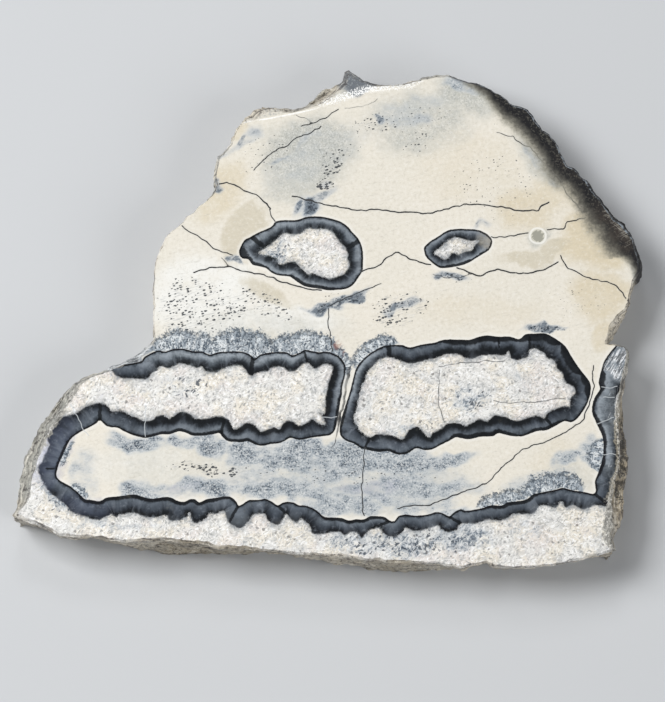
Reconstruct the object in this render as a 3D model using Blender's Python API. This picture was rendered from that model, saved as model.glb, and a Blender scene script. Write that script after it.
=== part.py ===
"""Polished slice of a mammoth molar, lying on its sawn back.

The slice is one solid. Its top is the polished face and its bottom the flat sawn back. The rim between
them is the tooth's own broken outside, so its line is given point by point, and each point says how wide
the sloping break beside the face is there and where the foot of the rim stands.
"""

import bpy
import bmesh
from mathutils import Vector

MM = 0.001

# Driving dimensions, in millimetres
THICKNESS = 9.0
BELLY_HEIGHT = 4.2
BELLY_SHARE_OF_FOOT = 0.35
SHOULDER_DROP_LEAST = 0.25
SHOULDER_DROP_PER_WIDTH = 0.45

# The tooth's outside as seen from above, clockwise from the peak at the top. Each point is
# (x, y, width of the sloping break inside it, how far the foot stands out from it), in millimetres.
CREST = [
    (3.3, 41.9, 1.0, -0.6), (4.6, 41.2, 0.9, -0.6), (5.8, 40.2, 0.8, -0.6), (7.9, 39.4, 0.7, -0.8),
    (10.3, 39.3, 0.5, -0.8), (13.4, 39.9, 0.5, -0.8), (14.6, 40.1, 0.5, -0.8), (15.3, 40.8, 0.8, -0.8),
    (17.5, 41.0, 0.7, -0.9), (19.1, 40.9, 0.5, -0.9), (21.0, 40.4, 0.4, -1.0), (23.3, 39.6, 0.4, -1.0),
    (25.2, 38.9, 0.4, -1.0), (26.6, 38.3, 0.4, -1.0),
]
DARK_RIM = [
    (28.4, 37.2, 0.5, -1.0), (30.0, 36.0, 0.6, -1.0), (32.2, 35.0, 0.5, -1.0), (33.0, 34.0, 0.5, -0.9),
    (33.8, 32.7, 0.5, -0.9), (34.5, 31.5, 0.4, -0.9), (35.6, 30.8, 0.4, -0.9), (36.6, 29.7, 0.4, -0.9),
    (37.4, 28.0, 0.4, -0.9), (38.5, 25.7, 0.4, -0.8), (39.6, 25.0, 0.4, -0.8), (40.7, 23.8, 0.5, -0.8),
    (41.7, 23.2, 0.6, -0.8), (42.3, 22.0, 0.7, -0.8), (43.9, 20.0, 0.7, -0.8), (45.2, 18.5, 0.8, -0.8),
    (46.3, 17.0, 0.9, -0.8), (47.6, 15.7, 0.9, -0.8), (48.6, 14.5, 0.8, -0.8), (49.4, 13.0, 0.7, -0.8),
    (50.0, 11.2, 0.8, -0.9), (50.5, 9.5, 1.0, -0.9), (50.3, 7.8, 0.8, -0.9),
]
SHOULDER = [
    (49.4, 6.3, 0.5, -0.9), (48.9, 5.2, 0.4, -0.9), (48.6, 3.8, 0.4, -0.9), (48.4, 2.3, 0.5, -0.9),
    (47.9, 1.2, 0.6, -0.8), (47.0, 0.0, 0.9, -0.8), (45.8, -2.0, 1.1, -0.8), (44.9, -4.2, 0.7, -0.6),
]
RIGHT_END = [
    (45.4, -4.3, 0.4, -0.6), (46.8, -4.7, 0.4, -0.8), (47.4, -4.8, 0.4, -0.8), (48.1, -5.5, 0.5, -0.8),
    (48.1, -6.8, 0.5, -0.8), (47.8, -9.5, 0.5, -0.8), (47.3, -12.2, 0.6, -0.8), (47.0, -14.2, 0.5, -0.8),
    (47.3, -16.3, 0.9, -0.8), (47.4, -18.5, 1.2, -0.8), (47.8, -20.3, 1.4, -0.9), (48.1, -23.0, 1.6, -0.9),
    (48.1, -24.5, 1.7, -0.9), (47.8, -26.3, 1.8, -0.9), (47.3, -28.8, 1.8, -0.9), (46.8, -31.5, 1.7, -0.9),
    (46.5, -34.3, 1.4, -1.0), (45.5, -36.2, 0.8, -1.1), (45.5, -37.3, 0.6, -1.2), (45.8, -38.7, 0.5, -1.5),
]
LOWER_EDGE = [
    (43.8, -39.3, 0.4, -2.4), (41.8, -39.8, 0.4, -2.8), (39.9, -40.3, 0.4, -3.1), (35.8, -41.2, 0.4, -3.2),
    (32.4, -41.5, 0.4, -3.2), (30.2, -41.7, 0.4, -3.2), (28.2, -41.7, 0.4, -3.1), (25.4, -41.2, 0.4, -3.0),
    (25.0, -40.8, 0.4, -3.0), (23.0, -41.2, 0.4, -2.9), (21.2, -41.7, 0.4, -2.7), (17.5, -41.0, 0.4, -1.5),
    (13.8, -40.8, 0.4, -0.8), (10.2, -40.8, 0.5, -0.7), (7.1, -40.5, 0.5, -1.0), (4.6, -40.2, 0.5, -1.2),
    (2.8, -39.8, 0.5, -1.3), (0.1, -39.7, 0.5, -1.1), (-4.4, -39.3, 0.4, -2.2), (-10.0, -38.8, 0.4, -2.1),
    (-12.4, -38.5, 0.4, -1.7), (-13.7, -38.3, 0.4, -1.2), (-17.4, -38.3, 0.4, -1.0),
    (-19.1, -37.8, 0.4, -1.0), (-21.8, -37.5, 0.5, -0.3), (-23.8, -37.3, 0.5, -0.1),
    (-26.5, -37.0, 0.5, -0.1), (-30.2, -37.3, 0.5, -0.8), (-33.2, -37.3, 0.4, -2.2),
    (-35.8, -36.8, 0.4, -2.6), (-42.8, -36.2, 0.4, -2.6), (-45.7, -34.7, 0.5, -2.4),
    (-49.0, -33.7, 0.7, -1.8), (-50.5, -32.8, 1.0, -1.2),
]
LEFT_RIM = [
    (-49.7, -30.5, 1.8, -0.8), (-49.5, -25.8, 2.5, -0.6), (-48.7, -22.8, 2.5, -0.6),
    (-47.4, -20.0, 2.2, -0.6), (-46.2, -17.5, 2.0, -0.6), (-44.2, -14.7, 1.9, -0.6),
    (-42.2, -12.0, 1.3, -0.6), (-40.9, -10.8, 0.8, -0.6), (-37.7, -9.2, 0.6, -0.6),
    (-35.4, -8.3, 0.8, -0.6), (-33.8, -7.2, 1.2, -0.6), (-32.1, -6.5, 1.2, -0.6), (-30.0, -5.5, 0.9, -0.6),
    (-28.2, -3.7, 0.6, -0.6),
]
WAIST = [
    (-28.1, -0.5, 0.3, -0.6), (-28.2, 4.2, 0.3, -0.6), (-28.1, 7.5, 0.3, -0.6), (-27.8, 9.2, 0.3, -0.6),
    (-27.0, 11.8, 0.3, -0.6), (-26.3, 13.3, 0.3, -0.6), (-25.4, 14.5, 0.3, -0.6), (-23.9, 15.5, 0.3, -0.6),
    (-23.0, 17.0, 0.3, -0.6), (-21.7, 17.8, 0.3, -0.6), (-20.4, 19.2, 0.3, -0.6), (-19.1, 20.3, 0.3, -0.6),
    (-18.5, 21.2, 0.4, -0.6), (-18.2, 22.2, 0.5, -0.6), (-18.6, 23.5, 0.6, -0.6), (-18.2, 25.8, 0.6, -0.6),
    (-17.8, 27.2, 0.6, -0.6), (-16.7, 28.2, 0.5, -0.6), (-15.9, 29.2, 0.5, -0.6), (-15.4, 30.7, 0.5, -0.6),
    (-15.0, 31.8, 0.6, -0.6),
]
FACET = [
    (-14.0, 33.1, 0.9, -0.6), (-13.0, 34.2, 1.4, -0.6), (-11.6, 35.5, 1.8, -0.6), (-10.8, 36.1, 1.9, -0.6),
    (-9.7, 36.0, 1.6, -0.6), (-5.8, 35.7, 1.2, -0.6), (-5.0, 35.7, 1.1, -0.6), (-3.8, 36.2, 1.3, -0.6),
    (-2.6, 37.1, 1.7, -0.6), (-1.7, 38.0, 2.0, -0.6), (-0.4, 39.0, 2.2, -0.6), (0.7, 39.5, 1.9, -0.6),
    (2.0, 40.1, 1.3, -0.6), (2.6, 41.5, 0.8, -0.6),
]
RIM = CREST + DARK_RIM + SHOULDER + RIGHT_END + LOWER_EDGE + LEFT_RIM + WAIST + FACET

SLICE_COLOUR = (0.72, 0.67, 0.56, 1.0)
POLISH_ROUGHNESS = 0.2


def clear_scene():
    for thing in list(bpy.data.objects):
        bpy.data.objects.remove(thing)


def outward(rim):
    """Unit vectors that point out of the outline at each of its points."""
    directions = []
    for i, here in enumerate(rim):
        before = Vector(rim[i - 1][:2])
        after = Vector(rim[(i + 1) % len(rim)][:2])
        here = Vector(here[:2])
        along = (here - before).normalized() + (after - here).normalized()
        directions.append(Vector((-along.y, along.x)).normalized())
    return directions


def add_ring(bm, rim, directions, height, reach):
    """One ring of vertices, moved outwards by what reach gives for each point of the outline."""
    ring = []
    for point, way in zip(rim, directions):
        spot = Vector(point[:2]) + way * reach(point)
        ring.append(bm.verts.new((spot.x * MM, spot.y * MM, height(point) * MM)))
    return ring


def join_rings(bm, upper, lower):
    count = len(upper)
    for i in range(count):
        j = (i + 1) % count
        bm.faces.new((upper[i], upper[j], lower[j], lower[i]))


def slice_mesh():
    """Sawn back, foot, belly and shoulder of the rim, and the polished face inside its sloping break."""
    mesh = bpy.data.meshes.new("tooth_slice")
    bm = bmesh.new()
    directions = outward(RIM)

    def shoulder_height(point):
        return THICKNESS - SHOULDER_DROP_LEAST - SHOULDER_DROP_PER_WIDTH * point[2]

    face = add_ring(bm, RIM, directions, lambda p: THICKNESS, lambda p: -p[2])
    shoulder = add_ring(bm, RIM, directions, shoulder_height, lambda p: 0.0)
    belly = add_ring(bm, RIM, directions, lambda p: BELLY_HEIGHT, lambda p: BELLY_SHARE_OF_FOOT * p[3])
    foot = add_ring(bm, RIM, directions, lambda p: 0.0, lambda p: p[3])
    join_rings(bm, face, shoulder)
    join_rings(bm, shoulder, belly)
    join_rings(bm, belly, foot)
    bm.faces.new(face)
    bm.faces.new(foot)
    bmesh.ops.recalc_face_normals(bm, faces=bm.faces)
    bm.to_mesh(mesh)
    bm.free()
    return mesh


def slice_material():
    material = bpy.data.materials.new("polished fossil tooth")
    material.use_nodes = True
    shader = material.node_tree.nodes["Principled BSDF"]
    shader.inputs["Base Color"].default_value = SLICE_COLOUR
    shader.inputs["Roughness"].default_value = POLISH_ROUGHNESS
    shader.inputs["Metallic"].default_value = 0.0
    return material


def main():
    clear_scene()
    tooth = bpy.data.objects.new("tooth_slice", slice_mesh())
    tooth.data.materials.append(slice_material())
    bpy.context.scene.collection.objects.link(tooth)


main()
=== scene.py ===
"""Polished slice of a Columbian mammoth molar, lying on its sawn back on a plain studio floor.

Sizes are millimetres unless a name says otherwise. The slice lies as the frame does: +X along the long
lower edge, +Y towards the crest of the tooth, +Z out of the polished face.
"""

import math

import bmesh
import bpy
import numpy as np
from bpy.props import FloatProperty, FloatVectorProperty, PointerProperty
from bpy.types import Operator, Panel, PropertyGroup
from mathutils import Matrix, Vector, noise
from mathutils.geometry import delaunay_2d_cdt
from mathutils.kdtree import KDTree


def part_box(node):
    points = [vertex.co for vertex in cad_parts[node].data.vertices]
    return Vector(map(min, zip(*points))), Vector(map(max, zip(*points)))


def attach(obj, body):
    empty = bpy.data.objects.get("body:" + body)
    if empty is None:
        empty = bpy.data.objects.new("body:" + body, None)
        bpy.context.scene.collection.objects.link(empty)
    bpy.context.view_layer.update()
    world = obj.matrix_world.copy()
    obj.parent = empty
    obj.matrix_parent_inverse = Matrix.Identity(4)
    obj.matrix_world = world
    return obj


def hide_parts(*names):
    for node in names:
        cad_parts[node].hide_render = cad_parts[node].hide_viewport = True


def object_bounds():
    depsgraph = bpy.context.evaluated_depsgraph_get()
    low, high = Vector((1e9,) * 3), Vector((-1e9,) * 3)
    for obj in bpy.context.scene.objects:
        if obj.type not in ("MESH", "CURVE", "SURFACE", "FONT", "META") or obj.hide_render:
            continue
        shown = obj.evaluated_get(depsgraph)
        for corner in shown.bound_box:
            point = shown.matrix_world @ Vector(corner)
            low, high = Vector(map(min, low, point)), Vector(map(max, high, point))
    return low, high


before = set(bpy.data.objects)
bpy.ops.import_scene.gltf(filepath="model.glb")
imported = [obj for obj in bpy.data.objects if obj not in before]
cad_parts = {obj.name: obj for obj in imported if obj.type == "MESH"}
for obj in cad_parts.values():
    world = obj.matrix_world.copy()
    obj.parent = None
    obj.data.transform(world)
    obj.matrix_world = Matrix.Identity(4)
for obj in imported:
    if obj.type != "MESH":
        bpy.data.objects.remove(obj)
CAD_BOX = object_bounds()

bl_info = {
    "name": "Mammoth tooth slice",
    "version": (1, 0, 0),
    "blender": (4, 5, 0),
    "location": "3D View > Sidebar > Tooth",
    "description": "Builds a polished slice of a mammoth molar and its studio",
    "category": "Object",
}

MM = 0.001
NODE = "tooth_slice"
BACK_LEVEL, FACE_LEVEL = (corner.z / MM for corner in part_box(NODE))

# The tooth's broken outside as seen from above, clockwise from the peak, with the solid model's own points.
# Each is (x, y, width of the sloping break inside it, how far the foot of the rim stands out from it).
CREST = [
    (3.3, 41.9, 1.0, -0.6), (4.6, 41.2, 0.9, -0.6), (5.8, 40.2, 0.8, -0.6), (7.9, 39.4, 0.7, -0.8),
    (10.3, 39.3, 0.5, -0.8), (13.4, 39.9, 0.5, -0.8), (14.6, 40.1, 0.5, -0.8), (15.3, 40.8, 0.8, -0.8),
    (17.5, 41.0, 0.7, -0.9), (19.1, 40.9, 0.5, -0.9), (21.0, 40.4, 0.4, -1.0), (23.3, 39.6, 0.4, -1.0),
    (25.2, 38.9, 0.4, -1.0), (26.6, 38.3, 0.4, -1.0),
]
DARK_RIM = [
    (28.4, 37.2, 0.5, -1.0), (30.0, 36.0, 0.6, -1.0), (32.2, 35.0, 0.5, -1.0), (33.0, 34.0, 0.5, -0.9),
    (33.8, 32.7, 0.5, -0.9), (34.5, 31.5, 0.4, -0.9), (35.6, 30.8, 0.4, -0.9), (36.6, 29.7, 0.4, -0.9),
    (37.4, 28.0, 0.4, -0.9), (38.5, 25.7, 0.4, -0.8), (39.6, 25.0, 0.4, -0.8), (40.7, 23.8, 0.5, -0.8),
    (41.7, 23.2, 0.6, -0.8), (42.3, 22.0, 0.7, -0.8), (43.9, 20.0, 0.7, -0.8), (45.2, 18.5, 0.8, -0.8),
    (46.3, 17.0, 0.9, -0.8), (47.6, 15.7, 0.9, -0.8), (48.6, 14.5, 0.8, -0.8), (49.4, 13.0, 0.7, -0.8),
    (50.0, 11.2, 0.8, -0.9), (50.5, 9.5, 1.0, -0.9), (50.3, 7.8, 0.8, -0.9),
]
SHOULDER = [
    (49.4, 6.3, 0.5, -0.9), (48.9, 5.2, 0.4, -0.9), (48.6, 3.8, 0.4, -0.9), (48.4, 2.3, 0.5, -0.9),
    (47.9, 1.2, 0.6, -0.8), (47.0, 0.0, 0.9, -0.8), (45.8, -2.0, 1.1, -0.8), (44.9, -4.2, 0.7, -0.6),
]
RIGHT_END = [
    (45.4, -4.3, 0.4, -0.6), (46.8, -4.7, 0.4, -0.8), (47.4, -4.8, 0.4, -0.8), (48.1, -5.5, 0.5, -0.8),
    (48.1, -6.8, 0.5, -0.8), (47.8, -9.5, 0.5, -0.8), (47.3, -12.2, 0.6, -0.8), (47.0, -14.2, 0.5, -0.8),
    (47.3, -16.3, 0.9, -0.8), (47.4, -18.5, 1.2, -0.8), (47.8, -20.3, 1.4, -0.9), (48.1, -23.0, 1.6, -0.9),
    (48.1, -24.5, 1.7, -0.9), (47.8, -26.3, 1.8, -0.9), (47.3, -28.8, 1.8, -0.9), (46.8, -31.5, 1.7, -0.9),
    (46.5, -34.3, 1.4, -1.0), (45.5, -36.2, 0.8, -1.1), (45.5, -37.3, 0.6, -1.2), (45.8, -38.7, 0.5, -1.5),
]
LOWER_EDGE = [
    (43.8, -39.3, 0.4, -2.4), (41.8, -39.8, 0.4, -2.8), (39.9, -40.3, 0.4, -3.1), (35.8, -41.2, 0.4, -3.2),
    (32.4, -41.5, 0.4, -3.2), (30.2, -41.7, 0.4, -3.2), (28.2, -41.7, 0.4, -3.1), (25.4, -41.2, 0.4, -3.0),
    (25.0, -40.8, 0.4, -3.0), (23.0, -41.2, 0.4, -2.9), (21.2, -41.7, 0.4, -2.7), (17.5, -41.0, 0.4, -1.5),
    (13.8, -40.8, 0.4, -0.8), (10.2, -40.8, 0.5, -0.7), (7.1, -40.5, 0.5, -1.0), (4.6, -40.2, 0.5, -1.2),
    (2.8, -39.8, 0.5, -1.3), (0.1, -39.7, 0.5, -1.1), (-4.4, -39.3, 0.4, -2.2), (-10.0, -38.8, 0.4, -2.1),
    (-12.4, -38.5, 0.4, -1.7), (-13.7, -38.3, 0.4, -1.2), (-17.4, -38.3, 0.4, -1.0),
    (-19.1, -37.8, 0.4, -1.0), (-21.8, -37.5, 0.5, -0.3), (-23.8, -37.3, 0.5, -0.1),
    (-26.5, -37.0, 0.5, -0.1), (-30.2, -37.3, 0.5, -0.8), (-33.2, -37.3, 0.4, -2.2),
    (-35.8, -36.8, 0.4, -2.6), (-42.8, -36.2, 0.4, -2.6), (-45.7, -34.7, 0.5, -2.4),
    (-49.0, -33.7, 0.7, -1.8), (-50.5, -32.8, 1.0, -1.2),
]
LEFT_RIM = [
    (-49.7, -30.5, 1.8, -0.8), (-49.5, -25.8, 2.5, -0.6), (-48.7, -22.8, 2.5, -0.6),
    (-47.4, -20.0, 2.2, -0.6), (-46.2, -17.5, 2.0, -0.6), (-44.2, -14.7, 1.9, -0.6),
    (-42.2, -12.0, 1.3, -0.6), (-40.9, -10.8, 0.8, -0.6), (-37.7, -9.2, 0.6, -0.6),
    (-35.4, -8.3, 0.8, -0.6), (-33.8, -7.2, 1.2, -0.6), (-32.1, -6.5, 1.2, -0.6), (-30.0, -5.5, 0.9, -0.6),
    (-28.2, -3.7, 0.6, -0.6),
]
WAIST = [
    (-28.1, -0.5, 0.3, -0.6), (-28.2, 4.2, 0.3, -0.6), (-28.1, 7.5, 0.3, -0.6), (-27.8, 9.2, 0.3, -0.6),
    (-27.0, 11.8, 0.3, -0.6), (-26.3, 13.3, 0.3, -0.6), (-25.4, 14.5, 0.3, -0.6), (-23.9, 15.5, 0.3, -0.6),
    (-23.0, 17.0, 0.3, -0.6), (-21.7, 17.8, 0.3, -0.6), (-20.4, 19.2, 0.3, -0.6), (-19.1, 20.3, 0.3, -0.6),
    (-18.5, 21.2, 0.4, -0.6), (-18.2, 22.2, 0.5, -0.6), (-18.6, 23.5, 0.6, -0.6), (-18.2, 25.8, 0.6, -0.6),
    (-17.8, 27.2, 0.6, -0.6), (-16.7, 28.2, 0.5, -0.6), (-15.9, 29.2, 0.5, -0.6), (-15.4, 30.7, 0.5, -0.6),
    (-15.0, 31.8, 0.6, -0.6),
]
FACET = [
    (-14.0, 33.1, 0.9, -0.6), (-13.0, 34.2, 1.4, -0.6), (-11.6, 35.5, 1.8, -0.6), (-10.8, 36.1, 1.9, -0.6),
    (-9.7, 36.0, 1.6, -0.6), (-5.8, 35.7, 1.2, -0.6), (-5.0, 35.7, 1.1, -0.6), (-3.8, 36.2, 1.3, -0.6),
    (-2.6, 37.1, 1.7, -0.6), (-1.7, 38.0, 2.0, -0.6), (-0.4, 39.0, 2.2, -0.6), (0.7, 39.5, 1.9, -0.6),
    (2.0, 40.1, 1.3, -0.6), (2.6, 41.5, 0.8, -0.6),
]
RIM = CREST + DARK_RIM + SHOULDER + RIGHT_END + LOWER_EDGE + LEFT_RIM + WAIST + FACET

# How the rim's wall falls away, as the solid model has it
BELLY_HEIGHT = 4.2
BELLY_SHARE_OF_FOOT = 0.35
SHOULDER_DROP_LEAST = 0.25
SHOULDER_DROP_PER_WIDTH = 0.45

# Net of the mesh. Its even points keep a share of the spacing clear of every line.
FACE_SPACING = 0.36
BACK_SPACING = 1.0
CLEAR_SHARE = 0.6
BREAK_ROWS = 6
UPPER_WALL_ROWS = 8
LOWER_WALL_ROWS = 7
MERGE_GAP = 0.02
SAME_LEVEL = 0.01
TINY = 1e-6

# Natural noise: how much weaker and how much finer each octave is than the one before
OCTAVE_FALL = 0.8
OCTAVE_STEP = 2.1
# Small chips along the edge of the face. The limits share out how far they bite in and stand out.
CHIP_SIZE = (1.6, 1.6, 1.6)
CHIP_OCTAVES = 5
CHIP_LIMITS = (-1.0, 0.35)
CHIP_SHARE_AT_SHOULDER = 0.7
# Relief of the break: chunks, layers that lie flat in the tooth, and crumbs. Each has its size along x, y
# and z, how many octaves of noise it has and its share of the height. It grows over a reach from the face,
# and stays a little below the face.
RIM_RELIEF = [((4.0, 4.0, 3.0), 3, 1.0), ((7.0, 7.0, 0.7), 3, 0.7), ((0.9, 0.9, 0.7), 3, 0.3)]
RELIEF_SINK = 0.25
RELIEF_LIMITS = (-1.2, 0.35)
RELIEF_REACH = 1.6
BELOW_FACE = 0.02
SHARP_ANGLE = math.radians(38)

# The sheet that the finish is baked on: the face has the most of it, the rim lies in strips
SHEET = "OFBake"
FACE_CORNER, FACE_SCALE = (0.005, 0.34), 0.00775
BACK_CORNER, BACK_SCALE = (0.005, 0.005), 0.0039
WALL_CORNER = (0.42, 0.005)
WALL_STRIPS = 5
WALL_WIDTH_ON_SHEET = 0.57
WALL_HEIGHT_ON_SHEET = 0.065
WALL_STRIP_FILL = 0.9

# Enamel bands. Each has an outer line, where it meets the dentine, and an inner one, where it meets the
# cement, both with the enamel on their right hand. The eye is the big ring in the upper dentine, the bead
# the small one, the plate the long ring at the right, and the ribbon the band that winds round the rest.
EYE_OUTER = [
    (-14.3, 10.5), (-14.2, 11.5), (-13.5, 12.8), (-12.7, 13.3), (-11.1, 14.2), (-9.7, 14.8), (-9.0, 15.3),
    (-8.4, 16.0), (-7.1, 16.2), (-5.4, 16.2), (-4.2, 16.5), (-3.3, 16.8), (-1.2, 16.8), (0.2, 16.5),
    (1.8, 16.0), (3.0, 15.2), (3.8, 14.2), (4.7, 13.2), (5.2, 12.2), (5.5, 10.8), (5.5, 9.3), (5.4, 7.7),
    (4.7, 6.5), (3.8, 5.3), (2.6, 4.7), (0.2, 4.5), (-1.2, 4.7), (-3.1, 5.0), (-4.1, 5.3), (-5.4, 6.2),
    (-6.3, 6.8), (-8.1, 7.0), (-9.2, 7.5), (-10.0, 8.2), (-11.1, 8.5), (-12.2, 8.8), (-12.9, 9.7),
    (-13.8, 9.8),
]
EYE_INNER = [
    (-11.1, 10.7), (-9.4, 12.0), (-8.1, 13.2), (-7.1, 14.0), (-6.0, 13.8), (-4.4, 14.0), (-3.3, 14.8),
    (-2.0, 14.7), (-0.4, 14.7), (0.6, 14.2), (1.2, 13.5), (1.8, 12.5), (2.6, 11.7), (3.1, 10.7), (3.0, 9.7),
    (3.3, 8.7), (2.6, 7.3), (1.5, 6.8), (0.2, 6.5), (-1.2, 6.8), (-2.5, 7.3), (-3.3, 7.2), (-4.4, 8.3),
    (-5.2, 9.2), (-6.0, 9.3), (-7.0, 9.0), (-7.8, 8.8), (-8.2, 9.7), (-9.2, 10.2),
]
BEAD_OUTER = [
    (15.4, 11.0), (15.4, 11.7), (16.4, 12.7), (17.7, 13.5), (18.8, 14.3), (20.2, 14.7), (22.5, 14.7),
    (24.2, 14.5), (25.5, 13.8), (26.2, 13.0), (26.2, 12.2), (25.7, 11.2), (24.6, 10.5), (23.4, 9.7),
    (22.2, 9.0), (20.6, 8.5), (18.3, 8.2), (17.4, 8.5), (16.4, 9.3), (15.6, 10.2),
]
BEAD_INNER = [
    (17.0, 10.7), (17.8, 11.5), (18.6, 12.2), (19.6, 13.0), (20.7, 13.3), (21.8, 13.0), (22.8, 12.7),
    (24.2, 12.8), (23.4, 12.0), (23.1, 11.2), (22.0, 11.0), (20.9, 10.5), (19.9, 10.7), (18.8, 9.7),
    (17.7, 10.2),
]
PLATE_OUTER = [
    (1.8, -18.7), (2.0, -17.1), (2.4, -15.8), (2.9, -14.2), (3.4, -12.6), (3.8, -11.0), (4.2, -9.3),
    (4.7, -8.1), (5.8, -6.8), (7.2, -5.7), (8.7, -4.9), (10.0, -4.7), (11.8, -4.7), (13.0, -5.1),
    (15.0, -4.6), (17.0, -4.3), (18.5, -3.8), (21.0, -3.8), (22.6, -3.8), (24.2, -3.3), (25.4, -3.1),
    (27.1, -3.3), (29.0, -3.3), (30.5, -3.7), (31.6, -2.9), (33.2, -2.8), (34.8, -2.8), (36.4, -3.7),
    (37.8, -4.8), (38.7, -6.3), (39.4, -7.5), (40.4, -9.0), (41.4, -10.3), (41.9, -11.5), (41.7, -13.3),
    (40.9, -15.2), (39.6, -17.0), (38.6, -17.5), (37.7, -17.3), (36.4, -18.0), (34.8, -18.8),
    (33.2, -19.0), (31.0, -19.8), (29.4, -19.8), (28.4, -19.6), (27.0, -19.3), (26.3, -19.8),
    (24.2, -19.9), (22.6, -20.3), (21.5, -20.2), (20.3, -20.0), (19.4, -20.5), (18.0, -21.2),
    (16.5, -22.0), (15.2, -22.1), (14.0, -21.8), (12.5, -22.7), (10.9, -22.8), (9.5, -22.3), (8.0, -22.4),
    (6.3, -22.1), (5.2, -21.8), (4.2, -21.1), (2.9, -20.6), (2.0, -19.8),
]
PLATE_INNER = [
    (4.6, -18.0), (4.1, -16.8), (4.6, -15.2), (4.9, -13.5), (5.4, -11.5), (6.0, -10.3), (6.2, -9.3),
    (7.5, -7.8), (8.5, -7.0), (9.7, -6.7), (11.5, -7.3), (13.2, -7.8), (15.0, -7.4), (17.4, -6.8),
    (18.8, -6.2), (21.0, -6.3), (22.0, -7.0), (23.1, -7.0), (24.2, -6.5), (25.8, -6.3), (28.2, -6.4),
    (28.8, -5.7), (29.2, -6.8), (30.3, -7.2), (32.1, -6.5), (32.2, -5.5), (33.2, -5.3), (34.6, -6.2),
    (35.0, -6.8), (36.1, -7.3), (36.6, -8.7), (37.5, -9.5), (37.7, -10.7), (39.1, -11.7), (39.4, -12.7),
    (38.6, -13.7), (38.5, -15.0), (37.7, -14.8), (35.1, -15.8), (34.5, -16.8), (33.5, -16.4),
    (31.9, -16.7), (30.0, -17.3), (28.4, -16.7), (26.6, -16.3), (25.5, -17.3), (24.1, -17.0),
    (22.2, -18.0), (21.5, -17.9), (20.3, -17.6), (19.0, -17.8), (17.8, -18.7), (16.8, -19.2),
    (16.0, -20.0), (15.1, -19.0), (14.2, -18.3), (13.0, -18.7), (12.2, -19.8), (11.7, -20.3),
    (10.3, -19.8), (9.0, -19.5), (7.7, -19.5), (6.7, -20.0), (5.8, -19.5), (5.0, -18.8),
]
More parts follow.
